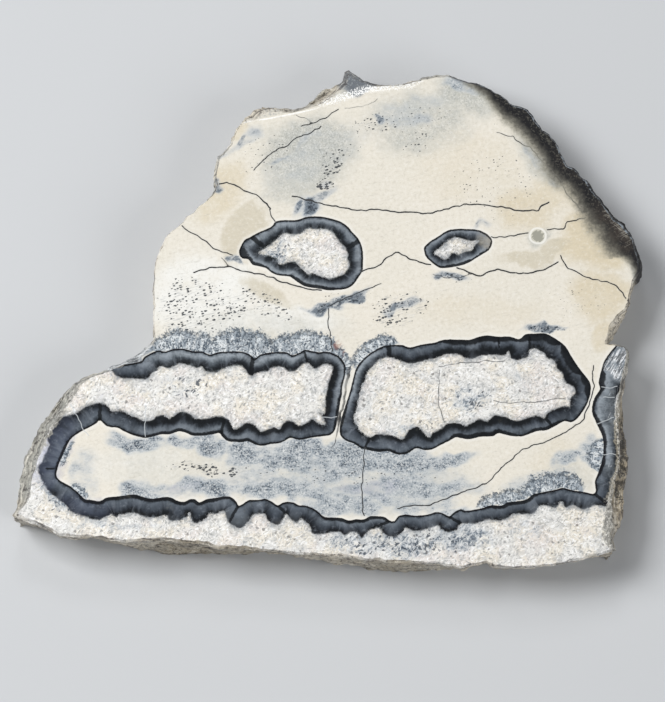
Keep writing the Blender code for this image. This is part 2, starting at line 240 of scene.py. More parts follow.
RIBBON_OUTER = [
    (-39.0, -8.6), (-35.3, -8.3), (-30.3, -7.5), (-29.5, -6.7), (-27.9, -5.8), (-27.0, -5.6), (-26.2, -5.8),
    (-25.0, -5.4), (-23.3, -5.3), (-21.7, -5.7), (-20.1, -5.8), (-19.0, -6.3), (-17.7, -5.9),
    (-16.4, -5.8), (-13.8, -5.8), (-12.3, -6.5), (-11.8, -7.0), (-10.9, -6.3), (-9.0, -5.9), (-6.8, -5.9),
    (-5.8, -6.4), (-4.5, -5.9), (-3.8, -5.5), (-2.6, -5.7), (-1.5, -5.9), (-0.2, -5.8), (1.4, -6.4),
    (2.3, -7.3), (2.7, -8.3), (2.6, -9.9), (2.2, -11.5), (2.1, -13.0), (1.8, -14.5), (1.6, -16.1),
    (1.4, -17.3), (1.0, -18.8), (0.3, -19.6), (-0.9, -19.8), (-2.4, -20.0), (-3.8, -20.3), (-4.8, -20.4),
    (-6.1, -20.1), (-7.0, -20.6), (-8.0, -21.0), (-9.2, -21.1), (-10.4, -21.4), (-11.6, -21.2),
    (-13.0, -20.6), (-13.8, -20.8), (-15.8, -20.7), (-16.3, -20.5), (-17.0, -19.8), (-17.4, -19.3),
    (-18.5, -19.5), (-20.0, -19.7), (-21.7, -19.7), (-22.6, -19.3), (-23.8, -19.0), (-25.4, -19.5),
    (-26.6, -19.5), (-27.8, -19.8), (-29.2, -20.1), (-31.0, -19.7), (-32.6, -19.0), (-33.7, -18.4),
    (-34.8, -18.3), (-35.6, -18.0), (-36.5, -17.1), (-37.0, -17.6), (-38.1, -18.3), (-39.1, -18.8),
    (-40.6, -19.8), (-41.4, -20.7), (-42.2, -22.5), (-43.0, -24.5), (-43.4, -26.2), (-42.9, -27.1),
    (-42.1, -27.6), (-41.2, -28.1), (-40.2, -28.9), (-39.4, -29.7), (-38.7, -30.3), (-37.8, -30.4),
    (-36.4, -30.6),
    (-35.3, -30.0), (-33.4, -29.8), (-31.1, -29.5), (-29.9, -29.8), (-28.1, -30.2), (-25.6, -29.9),
    (-23.9, -30.6), (-22.9, -30.7), (-22.1, -30.3), (-21.2, -30.3), (-20.6, -30.8), (-19.4, -30.3),
    (-18.2, -30.1), (-16.4, -29.8), (-15.4, -30.0), (-14.6, -30.8), (-14.3, -31.4), (-13.4, -30.9),
    (-12.6, -30.4), (-11.0, -30.4), (-10.1, -30.2), (-9.0, -30.7), (-8.1, -31.3), (-7.4, -30.9),
    (-6.5, -30.7), (-5.4, -30.9), (-4.7, -31.3), (-3.8, -31.3), (-2.6, -31.7), (-1.7, -32.3),
    (-0.6, -33.2), (0.9, -33.3), (2.1, -33.4), (3.3, -33.8), (4.3, -33.6), (5.7, -33.6), (6.6, -33.1),
    (8.2, -33.1), (9.1, -33.3), (9.7, -33.8), (10.5, -33.9), (11.1, -33.1), (12.3, -32.8), (13.8, -33.0),
    (15.8, -32.8), (17.1, -32.4), (18.2, -32.6), (19.2, -33.1), (19.9, -32.5), (21.1, -31.9),
    (21.8, -32.2), (24.3, -31.8), (25.8, -31.3), (27.6, -31.3), (28.6, -30.8), (31.3, -30.4),
    (32.6, -29.5), (34.2, -29.1), (36.2, -28.7), (37.3, -28.4), (38.9, -28.8), (40.8, -29.1),
    (42.1, -29.4), (42.6, -29.0), (42.5, -27.9), (42.5, -27.2), (43.1, -25.6),
    (43.8, -23.1), (43.8, -20.2), (42.9, -17.9), (42.1, -15.7), (42.5, -13.6), (43.4, -12.0),
    (43.2, -10.9), (43.6, -9.1), (44.1, -7.4), (45.0, -6.0), (45.9, -4.9), (46.6, -4.0), (50.0, -2.4),
]
RIBBON_INNER = [
    (-38.8, -9.0), (-35.0, -8.8), (-34.0, -9.8), (-32.9, -10.2), (-30.5, -10.3), (-29.4, -10.4),
    (-28.7, -10.2), (-28.2, -9.4), (-27.3, -8.8), (-27.0, -8.3), (-26.2, -8.3), (-25.5, -8.6),
    (-24.7, -8.2), (-23.8, -7.8), (-22.5, -8.0), (-21.0, -8.5), (-20.2, -8.3), (-19.8, -9.0),
    (-18.6, -9.3), (-17.7, -9.2), (-17.0, -8.7), (-15.8, -8.3), (-14.3, -8.1), (-13.5, -8.5),
    (-13.0, -9.3), (-12.2, -9.9), (-11.4, -9.3), (-9.8, -9.1), (-8.9, -8.5), (-7.4, -8.3), (-6.5, -9.0),
    (-5.4, -9.0), (-4.5, -8.3), (-3.9, -7.8), (-3.1, -7.7), (-2.6, -8.3), (-2.0, -8.7), (-0.9, -8.0),
    (0.0, -7.9), (0.6, -8.3), (0.6, -9.4), (0.0, -10.7), (-0.2, -12.2), (-0.5, -13.8), (-0.5, -15.3),
    (-0.6, -16.1), (-1.5, -15.9), (-0.9, -16.8), (-0.6, -17.9), (-1.8, -17.5), (-2.6, -16.8),
    (-3.3, -17.5), (-4.8, -18.1), (-5.4, -17.5), (-6.6, -17.3), (-7.3, -17.9), (-7.9, -18.6),
    (-8.6, -18.3), (-9.8, -18.8), (-10.7, -19.0), (-11.4, -18.3), (-12.3, -17.7), (-13.4, -17.7),
    (-14.2, -18.3), (-15.1, -18.6), (-15.8, -17.3), (-16.6, -16.7), (-17.7, -16.5), (-19.0, -16.8),
    (-20.1, -17.0), (-21.2, -16.8), (-22.0, -16.2), (-23.0, -15.8), (-24.1, -16.0), (-25.0, -16.7),
    (-25.4, -16.9), (-26.3, -16.3), (-27.4, -16.5), (-28.2, -17.2), (-29.5, -17.2), (-30.6, -16.7),
    (-31.8, -16.2), (-32.7, -15.6), (-34.5, -15.6), (-35.3, -14.8), (-36.2, -14.3), (-37.4, -14.4),
    (-38.8, -14.9), (-40.0, -15.8), (-41.4, -16.3), (-43.0, -16.8), (-43.9, -18.5), (-44.9, -19.8),
    (-44.6, -21.3), (-45.2, -22.7), (-45.6, -24.0), (-46.3, -24.9), (-46.1, -26.0), (-45.6, -27.3),
    (-44.7, -28.8), (-43.6, -29.8), (-41.8, -31.3), (-41.0, -32.3), (-39.3, -33.0), (-37.0, -33.7),
    (-35.6, -33.3), (-34.6, -32.8), (-33.8, -33.2), (-32.9, -32.8), (-30.8, -32.6), (-29.0, -33.3),
    (-27.0, -33.2), (-25.8, -32.8), (-25.4, -33.7), (-24.1, -33.8), (-22.6, -33.3), (-22.1, -32.5),
    (-21.7, -33.9), (-20.9, -34.2), (-19.4, -33.4), (-19.0, -32.7), (-17.8, -32.7), (-16.6, -32.3),
    (-16.2, -33.4), (-15.7, -34.3), (-14.6, -34.9), (-13.7, -34.9), (-12.6, -33.9), (-11.9, -32.9),
    (-10.7, -32.7), (-10.1, -32.7), (-9.5, -33.9), (-8.3, -34.5), (-7.7, -34.3), (-7.1, -33.4),
    (-6.7, -32.7), (-6.2, -33.4), (-5.0, -34.2), (-4.4, -33.4), (-3.8, -34.0), (-3.0, -34.5),
    (-2.6, -35.8), (-1.5, -36.1), (0.2, -35.8), (1.7, -35.7), (2.6, -36.3), (3.4, -35.8), (4.5, -35.8),
    (5.2, -36.7), (6.0, -36.0), (6.7, -35.3), (8.2, -35.1), (8.6, -35.8), (9.6, -36.4), (10.6, -36.5),
    (11.7, -35.8), (12.3, -35.0), (13.4, -35.5), (14.6, -35.5), (15.9, -35.1), (17.4, -34.6),
    (17.8, -35.1), (19.0, -35.8), (20.4, -35.3), (21.1, -34.3), (21.8, -34.3), (23.4, -34.3),
    (25.3, -33.7), (27.2, -33.8), (28.7, -33.4), (29.4, -32.8), (31.1, -32.7), (32.6, -32.7),
    (33.4, -31.7), (33.8, -31.3), (35.0, -31.4), (36.2, -31.7), (37.0, -30.8), (37.9, -31.7),
    (39.0, -31.3), (40.6, -32.0), (42.4, -31.3), (43.9, -31.5), (44.4, -31.7), (44.6, -30.3),
    (45.0, -28.8), (45.4, -27.3), (46.2, -24.3), (46.3, -21.3), (46.0, -18.3), (45.8, -15.8),
    (46.0, -13.5), (46.9, -12.2), (49.0, -11.4), (51.0, -8.0), (52.0, -5.0),
]

# Cracks, each with its width and how dark it is
CRACKS = [
    (0.16, 0.9, [(-5.8, 20.2), (1.2, 18.5), (4.6, 18.0), (9.8, 17.7), (16.2, 17.5), (18.0, 17.8),
                 (19.6, 18.3), (21.8, 18.8), (23.9, 18.8), (26.2, 18.6), (29.0, 18.2), (31.2, 17.8),
                 (33.6, 17.6), (34.3, 18.6), (35.5, 19.4)]),
    (0.16, 0.8, [(-18.2, 22.5), (-16.4, 22.5), (-14.5, 21.8), (-12.8, 21.0), (-11.3, 20.3), (-10.2, 19.2),
                 (-9.3, 18.1)]),
    (0.12, 0.7, [(-9.4, 17.9), (-8.9, 17.0), (-8.5, 16.0)]),
    (0.14, 0.7, [(-23.6, 15.2), (-22.2, 14.3), (-19.8, 12.8), (-18.2, 11.3), (-15.3, 10.3)]),
    (0.12, 0.6, [(-17.2, 10.0), (-16.2, 8.5)]),
    (0.16, 0.8, [(-21.5, 7.5), (-19.0, 8.2), (-16.1, 8.5), (-14.0, 8.0), (-11.5, 7.2), (-8.9, 6.5),
                 (-6.3, 5.5), (-3.8, 4.8), (-1.2, 4.4)]),
    (0.16, 0.9, [(5.4, 7.5), (7.4, 8.3), (9.4, 9.7), (11.0, 10.8), (13.0, 9.8), (13.8, 9.5), (15.1, 9.0),
                 (16.3, 8.7)]),
    (0.17, 0.9, [(20.6, 8.2), (21.5, 8.0), (22.4, 7.4), (23.1, 7.1), (24.3, 7.1), (25.7, 7.6), (27.2, 7.9),
                 (28.2, 7.8), (30.6, 7.3), (32.7, 7.5), (34.6, 8.0), (37.0, 9.2)]),
    (0.10, 0.5, [(16.7, 7.2), (18.5, 6.7), (21.0, 6.6), (22.6, 7.1)]),
    (0.14, 0.8, [(37.2, 10.3), (37.8, 8.8), (38.3, 8.2), (39.8, 7.5), (42.2, 6.5), (45.2, 5.7), (47.0, 4.4),
                 (48.0, 2.6)]),
    (0.14, 0.8, [(26.2, 13.3), (27.8, 13.2), (29.7, 13.6), (32.1, 14.1)]),
    (0.14, 0.8, [(35.1, 14.6), (37.8, 14.8), (38.5, 16.1), (41.3, 16.7)]),
    (0.12, 0.6, [(27.1, 31.0), (29.4, 30.5), (32.6, 28.3), (36.7, 23.7), (38.6, 20.3), (41.0, 17.5)]),
    (0.13, 0.8, [(-11.9, 24.7), (-10.5, 26.4), (-9.0, 27.7), (-7.2, 28.4), (-5.4, 29.8), (-4.2, 30.4),
                 (-2.7, 31.1), (-1.2, 32.0)]),
    (0.13, 0.7, [(-4.1, 32.0), (-2.1, 32.8), (-0.1, 33.8), (1.7, 34.9)]),
    (0.08, 0.5, [(-5.0, 34.0), (-3.6, 33.4), (-2.6, 32.9)]),
    (0.08, 0.4, [(2.6, 35.1), (4.7, 35.2), (7.1, 36.0), (8.0, 36.7)]),
    (0.10, 0.7, [(-12.4, 34.3), (-10.6, 35.2), (-9.2, 34.9), (-7.6, 35.1), (-6.0, 34.8), (-4.4, 35.1),
                 (-3.0, 36.0), (-1.6, 37.3), (-0.2, 38.3), (1.2, 38.9)]),
    (0.12, 0.8, [(-0.1, 1.5), (0.2, -1.3), (0.7, -5.5)]),
    (0.12, 0.8, [(5.7, -22.0), (5.7, -23.8), (5.3, -28.8), (5.3, -31.2), (5.7, -32.9)]),
    (0.14, 0.8, [(11.0, -31.7), (16.2, -31.0), (21.0, -29.3), (25.0, -27.8), (25.8, -27.2), (28.2, -24.3),
                 (31.1, -22.1), (37.0, -19.7), (39.4, -18.2), (40.7, -17.2), (41.2, -16.0), (42.0, -13.3),
                 (42.3, -11.3), (42.2, -9.7), (42.5, -8.0)]),
    (0.12, 0.6, [(8.4, 5.5), (5.4, 4.3), (0.2, 2.0)]),
    (0.10, 0.5, [(17.7, -8.3), (22.6, -7.5), (28.2, -7.3)]),
    (0.10, 0.5, [(17.7, -8.8), (17.5, -13.8), (18.6, -17.5)]),
    (0.10, 0.5, [(26.5, -14.1), (28.2, -14.3), (30.6, -14.3), (33.5, -14.2), (35.4, -13.8), (37.7, -13.5)]),
    (0.10, 0.5, [(3.4, -7.4), (3.3, -9.5), (2.8, -12.5), (2.3, -15.5), (1.5, -18.5), (0.6, -21.5)]),
    (0.09, 0.4, [(3.0, -8.5), (2.7, -11.5), (2.1, -15.0), (1.3, -18.0), (1.0, -20.5)]),
]
# Fine cracks filled with pale mineral
PALE_CRACKS = [
    [(-41.2, -14.5), (-40.5, -16.2), (-39.7, -17.6), (-38.9, -19.0), (-38.2, -19.9)],
    [(-29.2, -14.6), (-29.2, -19.8)],
    [(-0.9, -16.7), (1.4, -16.8)],
    [(43.4, -11.7), (46.3, -11.7)],
    [(43.8, -13.3), (45.7, -13.3)],
    [(43.1, -17.8), (45.5, -16.7)],
    [(43.6, -22.8), (46.2, -22.8)],
]
# How far from its middle a crack is sunk into the face
CRACK_REACH = 0.3
# Size and reach of the jogs in the cracks, and of the waver in the soft patches
CRACK_JOGS = [(3.1, 0.25), (0.9, 0.26)]
PATCH_JOGS = [(5.0, 1.2), (1.7, 0.8)]
# Where in the noise the shifts along x and y are read, so that they differ
JOG_DEPTHS = (0.4, 51.7)
# The crest is ground off a little beyond this line, by so much for each millimetre past it
FACET_LINE = [
    (-16.0, 32.2), (-13.9, 32.7), (-10.0, 33.3), (-6.0, 34.1), (-1.8, 35.1), (2.7, 36.6), (6.4, 37.9),
    (10.0, 38.3), (13.4, 38.6), (15.0, 39.6), (17.0, 41.5),
]
FACET_SLOPE = 0.22
# Where white glitter is painted on that ground strip as a painted highlight of its crystals: how far past the
# line, and how much at some x
PAINTED_SPARKLE_MIDDLE = 0.6
PAINTED_SPARKLE_REACH = 1.5
PAINTED_SPARKLE_ALONG = [-5.0, 1.0, 8.0, 15.0], [0.0, 1.2, 1.25, 1.15]
# How the painted highlight, a white line along the arris of that strip, breaks up at some x
PAINTED_GLINT_FADES = [-3.0, 0.0], [0.0, 0.17]
# Dark joints across the enamel, each with its width
JOINTS = [
    (0.45, [(-12.5, 13.6), (-10.9, 12.2)]), (0.5, [(5.0, 12.9), (3.3, 11.7)]),
    (0.8, [(-13.9, 11.2), (-13.5, 10.4)]), (0.45, [(9.7, -5.0), (9.7, -6.8)]),
    (0.22, [(27.2, -3.2), (27.3, -5.2)]), (0.25, [(32.2, -3.4), (32.2, -5.4)]),
    (0.35, [(-36.5, -14.4), (-36.5, -17.2)]), (0.2, [(-45.0, -25.2), (-43.3, -25.3)]),
    (0.3, [(-15.9, -34.2), (-14.4, -31.4)]), (0.3, [(-6.7, -32.7), (-8.1, -31.3)]),
    (0.25, [(5.8, -21.9), (6.6, -20.0)]), (0.3, [(21.1, -34.3), (19.2, -33.1)]),
    (0.3, [(6.6, -35.3), (9.6, -33.9)]), (0.3, [(42.3, -29.3), (45.0, -31.5)]),
    (0.45, [(-12.0, -6.7), (-12.3, -8.2), (-12.3, -9.8)]), (0.22, [(-3.9, -5.6), (-3.3, -7.9)]),
    (0.3, [(-17.2, -19.4), (-16.6, -17.0)]), (0.3, [(35.8, -18.2), (34.6, -16.8)]),
]

# How wide the black line along the enamel's outer side is, and where it is wider: (x, y, half width and half
# height of the stretch, its turn in degrees, width of the line)
INK_WIDTH = 0.24
INK_STRETCHES = [
    (24.0, -3.5, 9.0, 2.0, 0, 0.8), (34.5, -3.0, 6.0, 2.2, 0, 1.15), (39.0, -7.0, 3.5, 4.0, 0, 1.2),
    (41.8, -11.0, 2.0, 3.5, 0, 0.9), (24.5, -19.9, 8.0, 1.5, 0, 0.65), (35.0, -18.6, 6.0, 2.0, 0, 0.5),
    (1.6, -15.5, 2.0, 5.0, 0, 0.4), (4.0, -33.5, 10.0, 1.5, 0, 0.45), (30.0, -30.5, 10.0, 2.4, 0, 0.5),
    (-4.0, 5.2, 9.0, 2.6, 0, 0.5), (-12.0, 9.0, 3.0, 1.6, 0, 0.5), (20.5, 8.8, 5.0, 1.6, 0, 0.4),
    (-20.0, -20.0, 20.0, 2.6, 0, 0.42), (-28.0, -30.2, 22.0, 1.6, 0, 0.5), (-41.5, -24.5, 3.0, 6.5, 0, 0.38),
    (43.0, -19.0, 1.6, 11.0, 0, 0.6), (8.0, -22.4, 6.0, 1.4, 0, 0.4), (43.3, -10.6, 1.6, 2.6, 0, 0.8),
]
# Blue-grey fringes that stand on the enamel's outer line: (x, y, half width, half height, turn, strength,
# how far the fringe reaches into the dentine)
FRINGES = [
    (-22.5, -5.6, 7.5, 2.5, 0, 1.0, 3.4), (-13.5, -6.0, 7.0, 2.2, 0, 1.0, 4.2),
    (-4.0, -5.9, 7.0, 2.0, 0, 1.0, 3.6), (2.5, -7.2, 3.0, 3.0, 0, 0.8, 1.8),
    (7.5, -6.0, 5.0, 3.0, 30, 0.95, 2.2), (-41.5, -23.0, 3.0, 4.5, 0, 0.4, 2.0),
    (-39.4, -29.0, 3.4, 2.4, 0, 0.5, 2.2), (28.0, -31.0, 6.0, 2.4, 8, 0.7, 3.0),
    (36.0, -28.8, 6.5, 2.4, 8, 0.75, 4.2), (43.4, -22.8, 1.6, 3.6, 0, 1.0, 2.6),
]
# How soft the edge of a patch is
PATCH_SLOPE = 1.6
# Soft patches: (x, y, half width, half height, turn, strength). Smears are blue-black stains, haze is the
# thin blue-grey one, and flecks are dark specks. Cream, bleached, warm, grey and rust are drifts of the
# dentine's colour. Inky, pearl, frost and silvery are the enamel's tones, lilac tints all three tissues, and
# slate, scratched, shard, ash and umber are the tones of the ground, dark and broken edges.
PATCHES = {
    "smear": [
        (-3.2, 18.6, 1.5, 2.2, -15, 1.7), (-5.0, 18.8, 0.8, 2.4, -15, 1.1), (-1.2, 20.6, 3.6, 1.2, 28, 0.75),
        (-17.4, 27.0, 1.3, 1.2, 40, 0.9), (-17.6, 22.2, 1.4, 1.3, -40, 1.2), (-14.6, 29.0, 2.6, 0.8, 45, 0.8),
        (7.6, 33.1, 1.7, 0.8, -25, 1.0), (-12.3, 30.8, 1.3, 1.6, -30, 0.6), (-14.8, 28.6, 4.0, 0.8, 22, 0.6),
        (3.4, 3.2, 4.8, 1.3, 30, 1.4), (-1.0, 1.6, 4.6, 1.1, -6, 1.2), (12.0, 1.6, 4.5, 1.0, 18, 0.9),
        (19.5, 6.6, 4.6, 1.1, -5, 1.1), (34.0, -1.6, 5.0, 0.9, 8, 1.3), (-15.0, 9.5, 1.9, 0.9, -35, 1.2),
        (-8.0, 26.5, 2.6, 0.6, 25, 0.7), (-3.5, 29.5, 3.0, 0.6, 35, 0.5), (14.8, 33.8, 3.0, 1.4, 0, 0.6),
        (24.5, 14.9, 2.0, 0.7, 20, 0.6), (-0.8, 22.6, 1.6, 0.8, 20, 0.5),
    ],
    "haze": [
        (-5.0, 25.5, 9.0, 4.5, 35, 0.35), (11.5, 34.0, 7.0, 3.6, 0, 0.45), (1.0, 29.0, 9.0, 6.0, 25, 0.3),
        (15.0, 36.2, 6.0, 2.4, 15, 0.4), (-3.5, 18.6, 3.6, 3.0, 0, 0.5), (-12.0, 30.8, 3.0, 2.4, 45, 0.4),
        (-30.5, -20.9, 6.4, 2.4, -5, 1.3), (-18.6, -21.8, 2.8, 2.8, 0, 1.35),
        (-13.5, -22.6, 4.6, 3.2, 0, 1.25), (-29.5, -30.2, 4.4, 1.9, 0, 1.2), (19.5, -33.0, 5.0, 2.0, 0, 0.8),
        (-6.5, -23.4, 6.4, 3.8, 0, 1.2), (-1.0, -25.5, 6.0, 4.0, 0, 0.9), (3.4, -23.4, 6.0, 4.4, 0, 1.1),
        (10.5, -24.0, 9.0, 3.8, -4, 1.15), (18.5, -23.4, 6.5, 2.2, 8, 1.1), (12.0, -28.6, 18.0, 3.6, 2, 0.9),
        (-6.0, -28.8, 14.0, 3.0, 0, 1.0), (-19.0, -28.4, 8.0, 2.6, 0, 1.15), (2.5, -31.5, 9.0, 2.8, 0, 1.05),
        (-8.0, -37.6, 15.0, 2.6, 0, 0.45), (-1.0, -26.8, 20.0, 1.6, 0, 0.55), (-4.0, -22.0, 8.0, 2.4, 0, 1.1),
        (15.0, -31.0, 9.0, 2.4, 5, 0.8), (-30.5, -28.7, 4.0, 2.0, 0, 0.9), (38.0, -23.0, 4.6, 1.9, 25, 1.0),
        (42.0, -22.0, 2.4, 3.8, 0, 1.0), (-38.8, -26.0, 4.0, 5.5, 0, 0.6), (33.0, -27.0, 8.0, 2.6, 12, 0.5),
        (23.0, 38.9, 7.0, 2.2, -15, 0.9), (34.4, 25.6, 1.2, 8.0, 40, 0.6), (1.8, -12.5, 1.6, 9.0, -10, 0.5),
        (2.0, -26.0, 28.0, 8.0, 0, 0.65), (-24.0, -29.0, 8.0, 2.2, 0, 0.7), (49.4, 8.2, 1.8, 4.6, 8, 1.0),
        (-23.0, -21.2, 5.0, 2.0, 0, 1.1), (4.0, -37.6, 6.0, 2.6, 0, 0.9), (12.0, -37.8, 8.0, 3.4, 0, 1.2),
        (21.0, -36.8, 7.5, 3.2, 0, 1.1), (30.5, -35.0, 5.0, 3.0, 0, 0.7), (-44.5, -29.5, 6.5, 1.6, -48, 1.0),
        (-34.0, -34.8, 13.0, 1.2, 0, 0.7),
        (22.5, -13.8, 4.6, 4.4, 0, 0.9), (-23.5, -11.6, 5.0, 3.4, 0, 0.6), (30.5, -11.5, 6.5, 4.0, 0, 0.4),
        (-8.0, 11.0, 3.2, 1.9, 20, 1.0), (7.0, -14.5, 3.2, 5.4, 0, 0.45), (12.0, -19.2, 5.0, 1.6, 0, 0.7),
    ],
    "flecks": [
        (-22.0, 3.0, 8.5, 5.4, 10, 1.3), (-9.5, 2.2, 7.5, 2.2, -24, 1.4), (-22.0, -0.9, 6.5, 2.6, 15, 1.5),
        (-10.0, 27.0, 9.0, 5.5, 30, 0.6), (12.0, 1.4, 7.0, 3.0, 10, 1.2), (-1.0, 22.6, 2.4, 1.4, 15, 1.9),
        (0.6, 24.9, 3.4, 2.1, 0, 1.6), (8.0, 32.5, 6.5, 3.0, 0, 1.0), (14.0, 29.5, 4.0, 3.0, 20, 0.9),
        (-19.0, 0.4, 12.0, 4.0, 15, 1.3), (9.5, 0.6, 5.0, 3.0, 0, 1.4), (2.0, 27.5, 5.0, 3.0, 20, 0.9),
        (-22.5, -11.6, 5.0, 3.4, 0, 1.5), (22.5, -13.8, 4.8, 3.8, 0, 1.2), (12.0, -37.6, 17.0, 3.2, 0, 1.3),
        (-19.0, -25.4, 9.5, 0.9, -2, 2.3), (4.0, -25.8, 26.0, 3.2, 0, 0.8), (2.0, 2.8, 6.5, 1.7, 12, 1.1),
        (19.5, 6.4, 5.0, 1.4, -5, 1.1), (34.5, -1.6, 5.0, 1.0, 8, 1.1), (-43.0, -31.0, 6.0, 2.4, -35, 1.0),
        (27.0, 22.0, 12.0, 9.0, 0, 0.6), (14.5, 34.5, 7.0, 3.0, 0, 0.7), (40.0, 3.0, 8.0, 5.0, 0, 0.55),
        (-8.0, 11.0, 4.2, 2.0, 20, 0.85), (28.0, 34.0, 4.0, 2.4, -30, 0.8), (-30.0, -34.6, 14.0, 1.6, 0, 0.5),
    ],
    "cream": [
        (-13.5, 14.0, 5.5, 7.5, -25, 1.2), (-9.5, 3.6, 6.5, 2.2, -28, 1.0), (31.5, 9.7, 6.5, 1.8, 8, 1.1),
        (36.4, 11.4, 3.2, 2.2, 40, 1.3), (38.0, 17.0, 5.0, 5.0, 20, 0.5), (12.0, 4.0, 6.0, 3.0, 10, 0.4),
    ],
    "bleached": [
        (-20.0, 3.0, 14.0, 11.0, 0, 0.8), (-8.0, 0.5, 14.0, 4.0, -8, 0.7), (-30.0, -25.0, 12.0, 5.0, 0, 0.4),
    ],
    "inky": [
        (-18.0, -18.6, 23.0, 3.4, 0, 1.0), (1.0, -12.0, 3.4, 9.0, 0, 1.0), (22.0, -18.5, 22.0, 3.6, 7, 1.0),
        (22.0, -5.2, 20.0, 2.8, 3, 1.0), (38.0, -10.0, 4.5, 6.0, 0, 0.8),
    ],
    "pearl": [(26.2, 12.6, 3.2, 2.6, -35, 1.0)],
    "warm": [
        (-17.5, 20.5, 5.0, 9.0, -35, 0.75), (-15.0, 31.5, 3.0, 2.6, 30, 0.8), (32.5, 18.5, 9.0, 6.0, 20, 0.8),
        (43.5, 3.5, 7.0, 7.0, 0, 0.9), (44.5, -3.0, 3.0, 4.0, -30, 0.9), (43.0, 13.0, 8.0, 7.0, 0, 1.5),
        (22.0, 25.0, 14.0, 10.0, 0, 0.4), (36.0, -23.0, 7.0, 4.0, 25, 0.4), (24.0, 1.0, 16.0, 4.0, 0, 0.4),
        (37.0, 21.0, 7.0, 6.0, -40, 0.7),
    ],
    "slate": [(4.6, 40.4, 4.6, 3.0, 10, 1.3), (24.0, 39.6, 6.5, 1.3, -20, 0.9)],
    "lilac": [
        (-44.5, -22.5, 5.0, 10.0, -22, 1.0), (-33.0, -13.0, 8.0, 3.0, 0, 0.4),
        (-39.0, -31.5, 6.0, 3.0, -20, 0.7), (7.0, -28.5, 8.0, 2.4, 0, 0.8), (-22.0, -28.6, 6.0, 2.0, 0, 0.7),
    ],
    "frost": [
        (46.5, -7.6, 3.4, 4.6, 10, 1.4), (45.2, -15.0, 1.2, 7.0, 5, 0.6), (44.8, -25.0, 1.0, 6.0, 5, 0.5),
    ],
    "scratched": [(45.5, 15.0, 8.0, 5.0, -50, 1.0), (39.0, 26.0, 6.0, 3.0, -50, 0.5)],
    "shard": [(-32.0, -6.5, 5.2, 2.3, 30, 1.5)],
    "grey": [
        (-3.0, 28.0, 12.0, 9.0, 20, 1.1), (14.0, 33.0, 13.0, 8.0, 5, 0.85),
        (-5.5, 22.5, 8.0, 5.0, 30, 0.8), (22.0, 37.5, 8.0, 5.0, -15, 1.0), (-24.0, -24.5, 22.0, 8.0, 0, 0.45),
        (5.0, -27.0, 22.0, 8.0, 0, 0.6), (38.5, -26.5, 6.0, 6.0, 0, 0.6), (-10.0, -2.0, 20.0, 5.0, 0, 0.5),
        (34.0, 26.0, 3.0, 9.0, 40, 0.7), (33.7, 13.5, 2.6, 2.6, 0, 0.8), (2.0, 39.0, 7.0, 3.0, 25, 1.0),
    ],
    "rust": [(1.0, -4.7, 1.5, 1.2, -30, 1.0), (1.8, -6.6, 0.7, 1.4, 0, 0.9)],
    "silvery": [
        (-4.0, 10.7, 15.0, 9.5, 0, 0.85), (20.8, 11.5, 9.0, 6.0, 0, 0.6), (-14.0, -7.0, 22.0, 3.0, 0, 1.0),
        (46.0, -18.0, 4.0, 16.0, 0, 1.1), (5.0, -10.0, 6.0, 9.0, 0, 0.9), (-20.0, -18.5, 20.0, 3.4, 0, 0.35),
        (0.0, -34.5, 44.0, 2.6, 0, 0.25),
    ],
    "ash": [
        (-46.0, -20.0, 7.0, 16.0, -25, 1.2), (-34.0, -7.0, 9.0, 4.0, 25, 0.9),
        (-3.0, 38.5, 7.0, 4.0, 30, 0.5), (-18.0, 25.0, 2.5, 8.0, -15, 0.5),
        (14.0, 40.5, 14.0, 2.0, 0, 0.6), (47.5, -6.0, 3.0, 4.0, 0, 0.8),
    ],
    "umber": [
        (48.0, -24.0, 5.0, 15.0, 0, 1.2), (-18.0, -37.6, 14.0, 2.5, 0, 0.7), (8.0, -40.8, 10.0, 2.0, 0, 0.5),
    ],
}
# Lenses of darker cream that end in a clear line: (x, y, half width, half height, turn)
LENSES = [(-4.0, 10.9, 14.0, 10.2, -14), (32.5, 10.2, 7.5, 3.0, 12)]
# A small round pore that is filled with beige mineral
SPOT = (33.6, 13.6)
# Where the upper right edge is stained dark: (x, y, how far the stain reaches in)
DARK_EDGE = [
    (22.5, 39.9, 1.2), (25.0, 39.0, 2.2), (27.5, 37.8, 3.4), (30.0, 36.0, 4.2), (32.2, 34.6, 4.6),
    (34.0, 32.0, 4.4), (36.6, 29.7, 5.2), (38.5, 26.0, 5.0), (40.4, 24.4, 4.8), (42.3, 22.2, 5.0),
    (44.5, 19.3, 5.8), (47.0, 16.4, 6.4), (49.3, 13.1, 6.4), (50.3, 11.2, 5.4), (50.5, 9.8, 4.2),
    (50.4, 8.4, 3.0), (50.1, 7.2, 2.0), (49.6, 6.0, 1.1), (49.0, 4.8, 0.5),
]
# The reach from which that stain is at its darkest
DARK_REACH = 3.5
# Where the face crumbles into the broken rim at both ends: (x, y, how far in from the edge)
FLAKY_EDGES = [
    [
        (-30.0, -5.6, 0.5), (-33.8, -7.2, 0.9), (-38.0, -9.3, 1.0), (-41.0, -10.9, 1.8), (-44.2, -14.7, 3.0),
        (-46.8, -18.6, 3.2), (-48.8, -23.0, 3.0), (-49.6, -26.6, 2.8), (-49.8, -30.0, 2.4),
        (-50.4, -32.4, 1.4),
    ],
    [
        (48.1, -5.8, 0.5), (47.6, -10.5, 1.0), (47.2, -14.2, 1.6), (47.5, -17.5, 2.6), (48.0, -21.5, 2.8),
        (48.1, -24.5, 2.6), (47.4, -28.5, 3.2), (46.7, -32.5, 3.4), (45.6, -36.4, 2.4), (45.8, -38.6, 1.0),
    ],
]
# How much faster the streaks in the flaky edge change across it than along it
FLAKE_SHARE = 7.0
# How much slower the streaks in the enamel change across the band than along it
STREAK_SHARE = 0.3

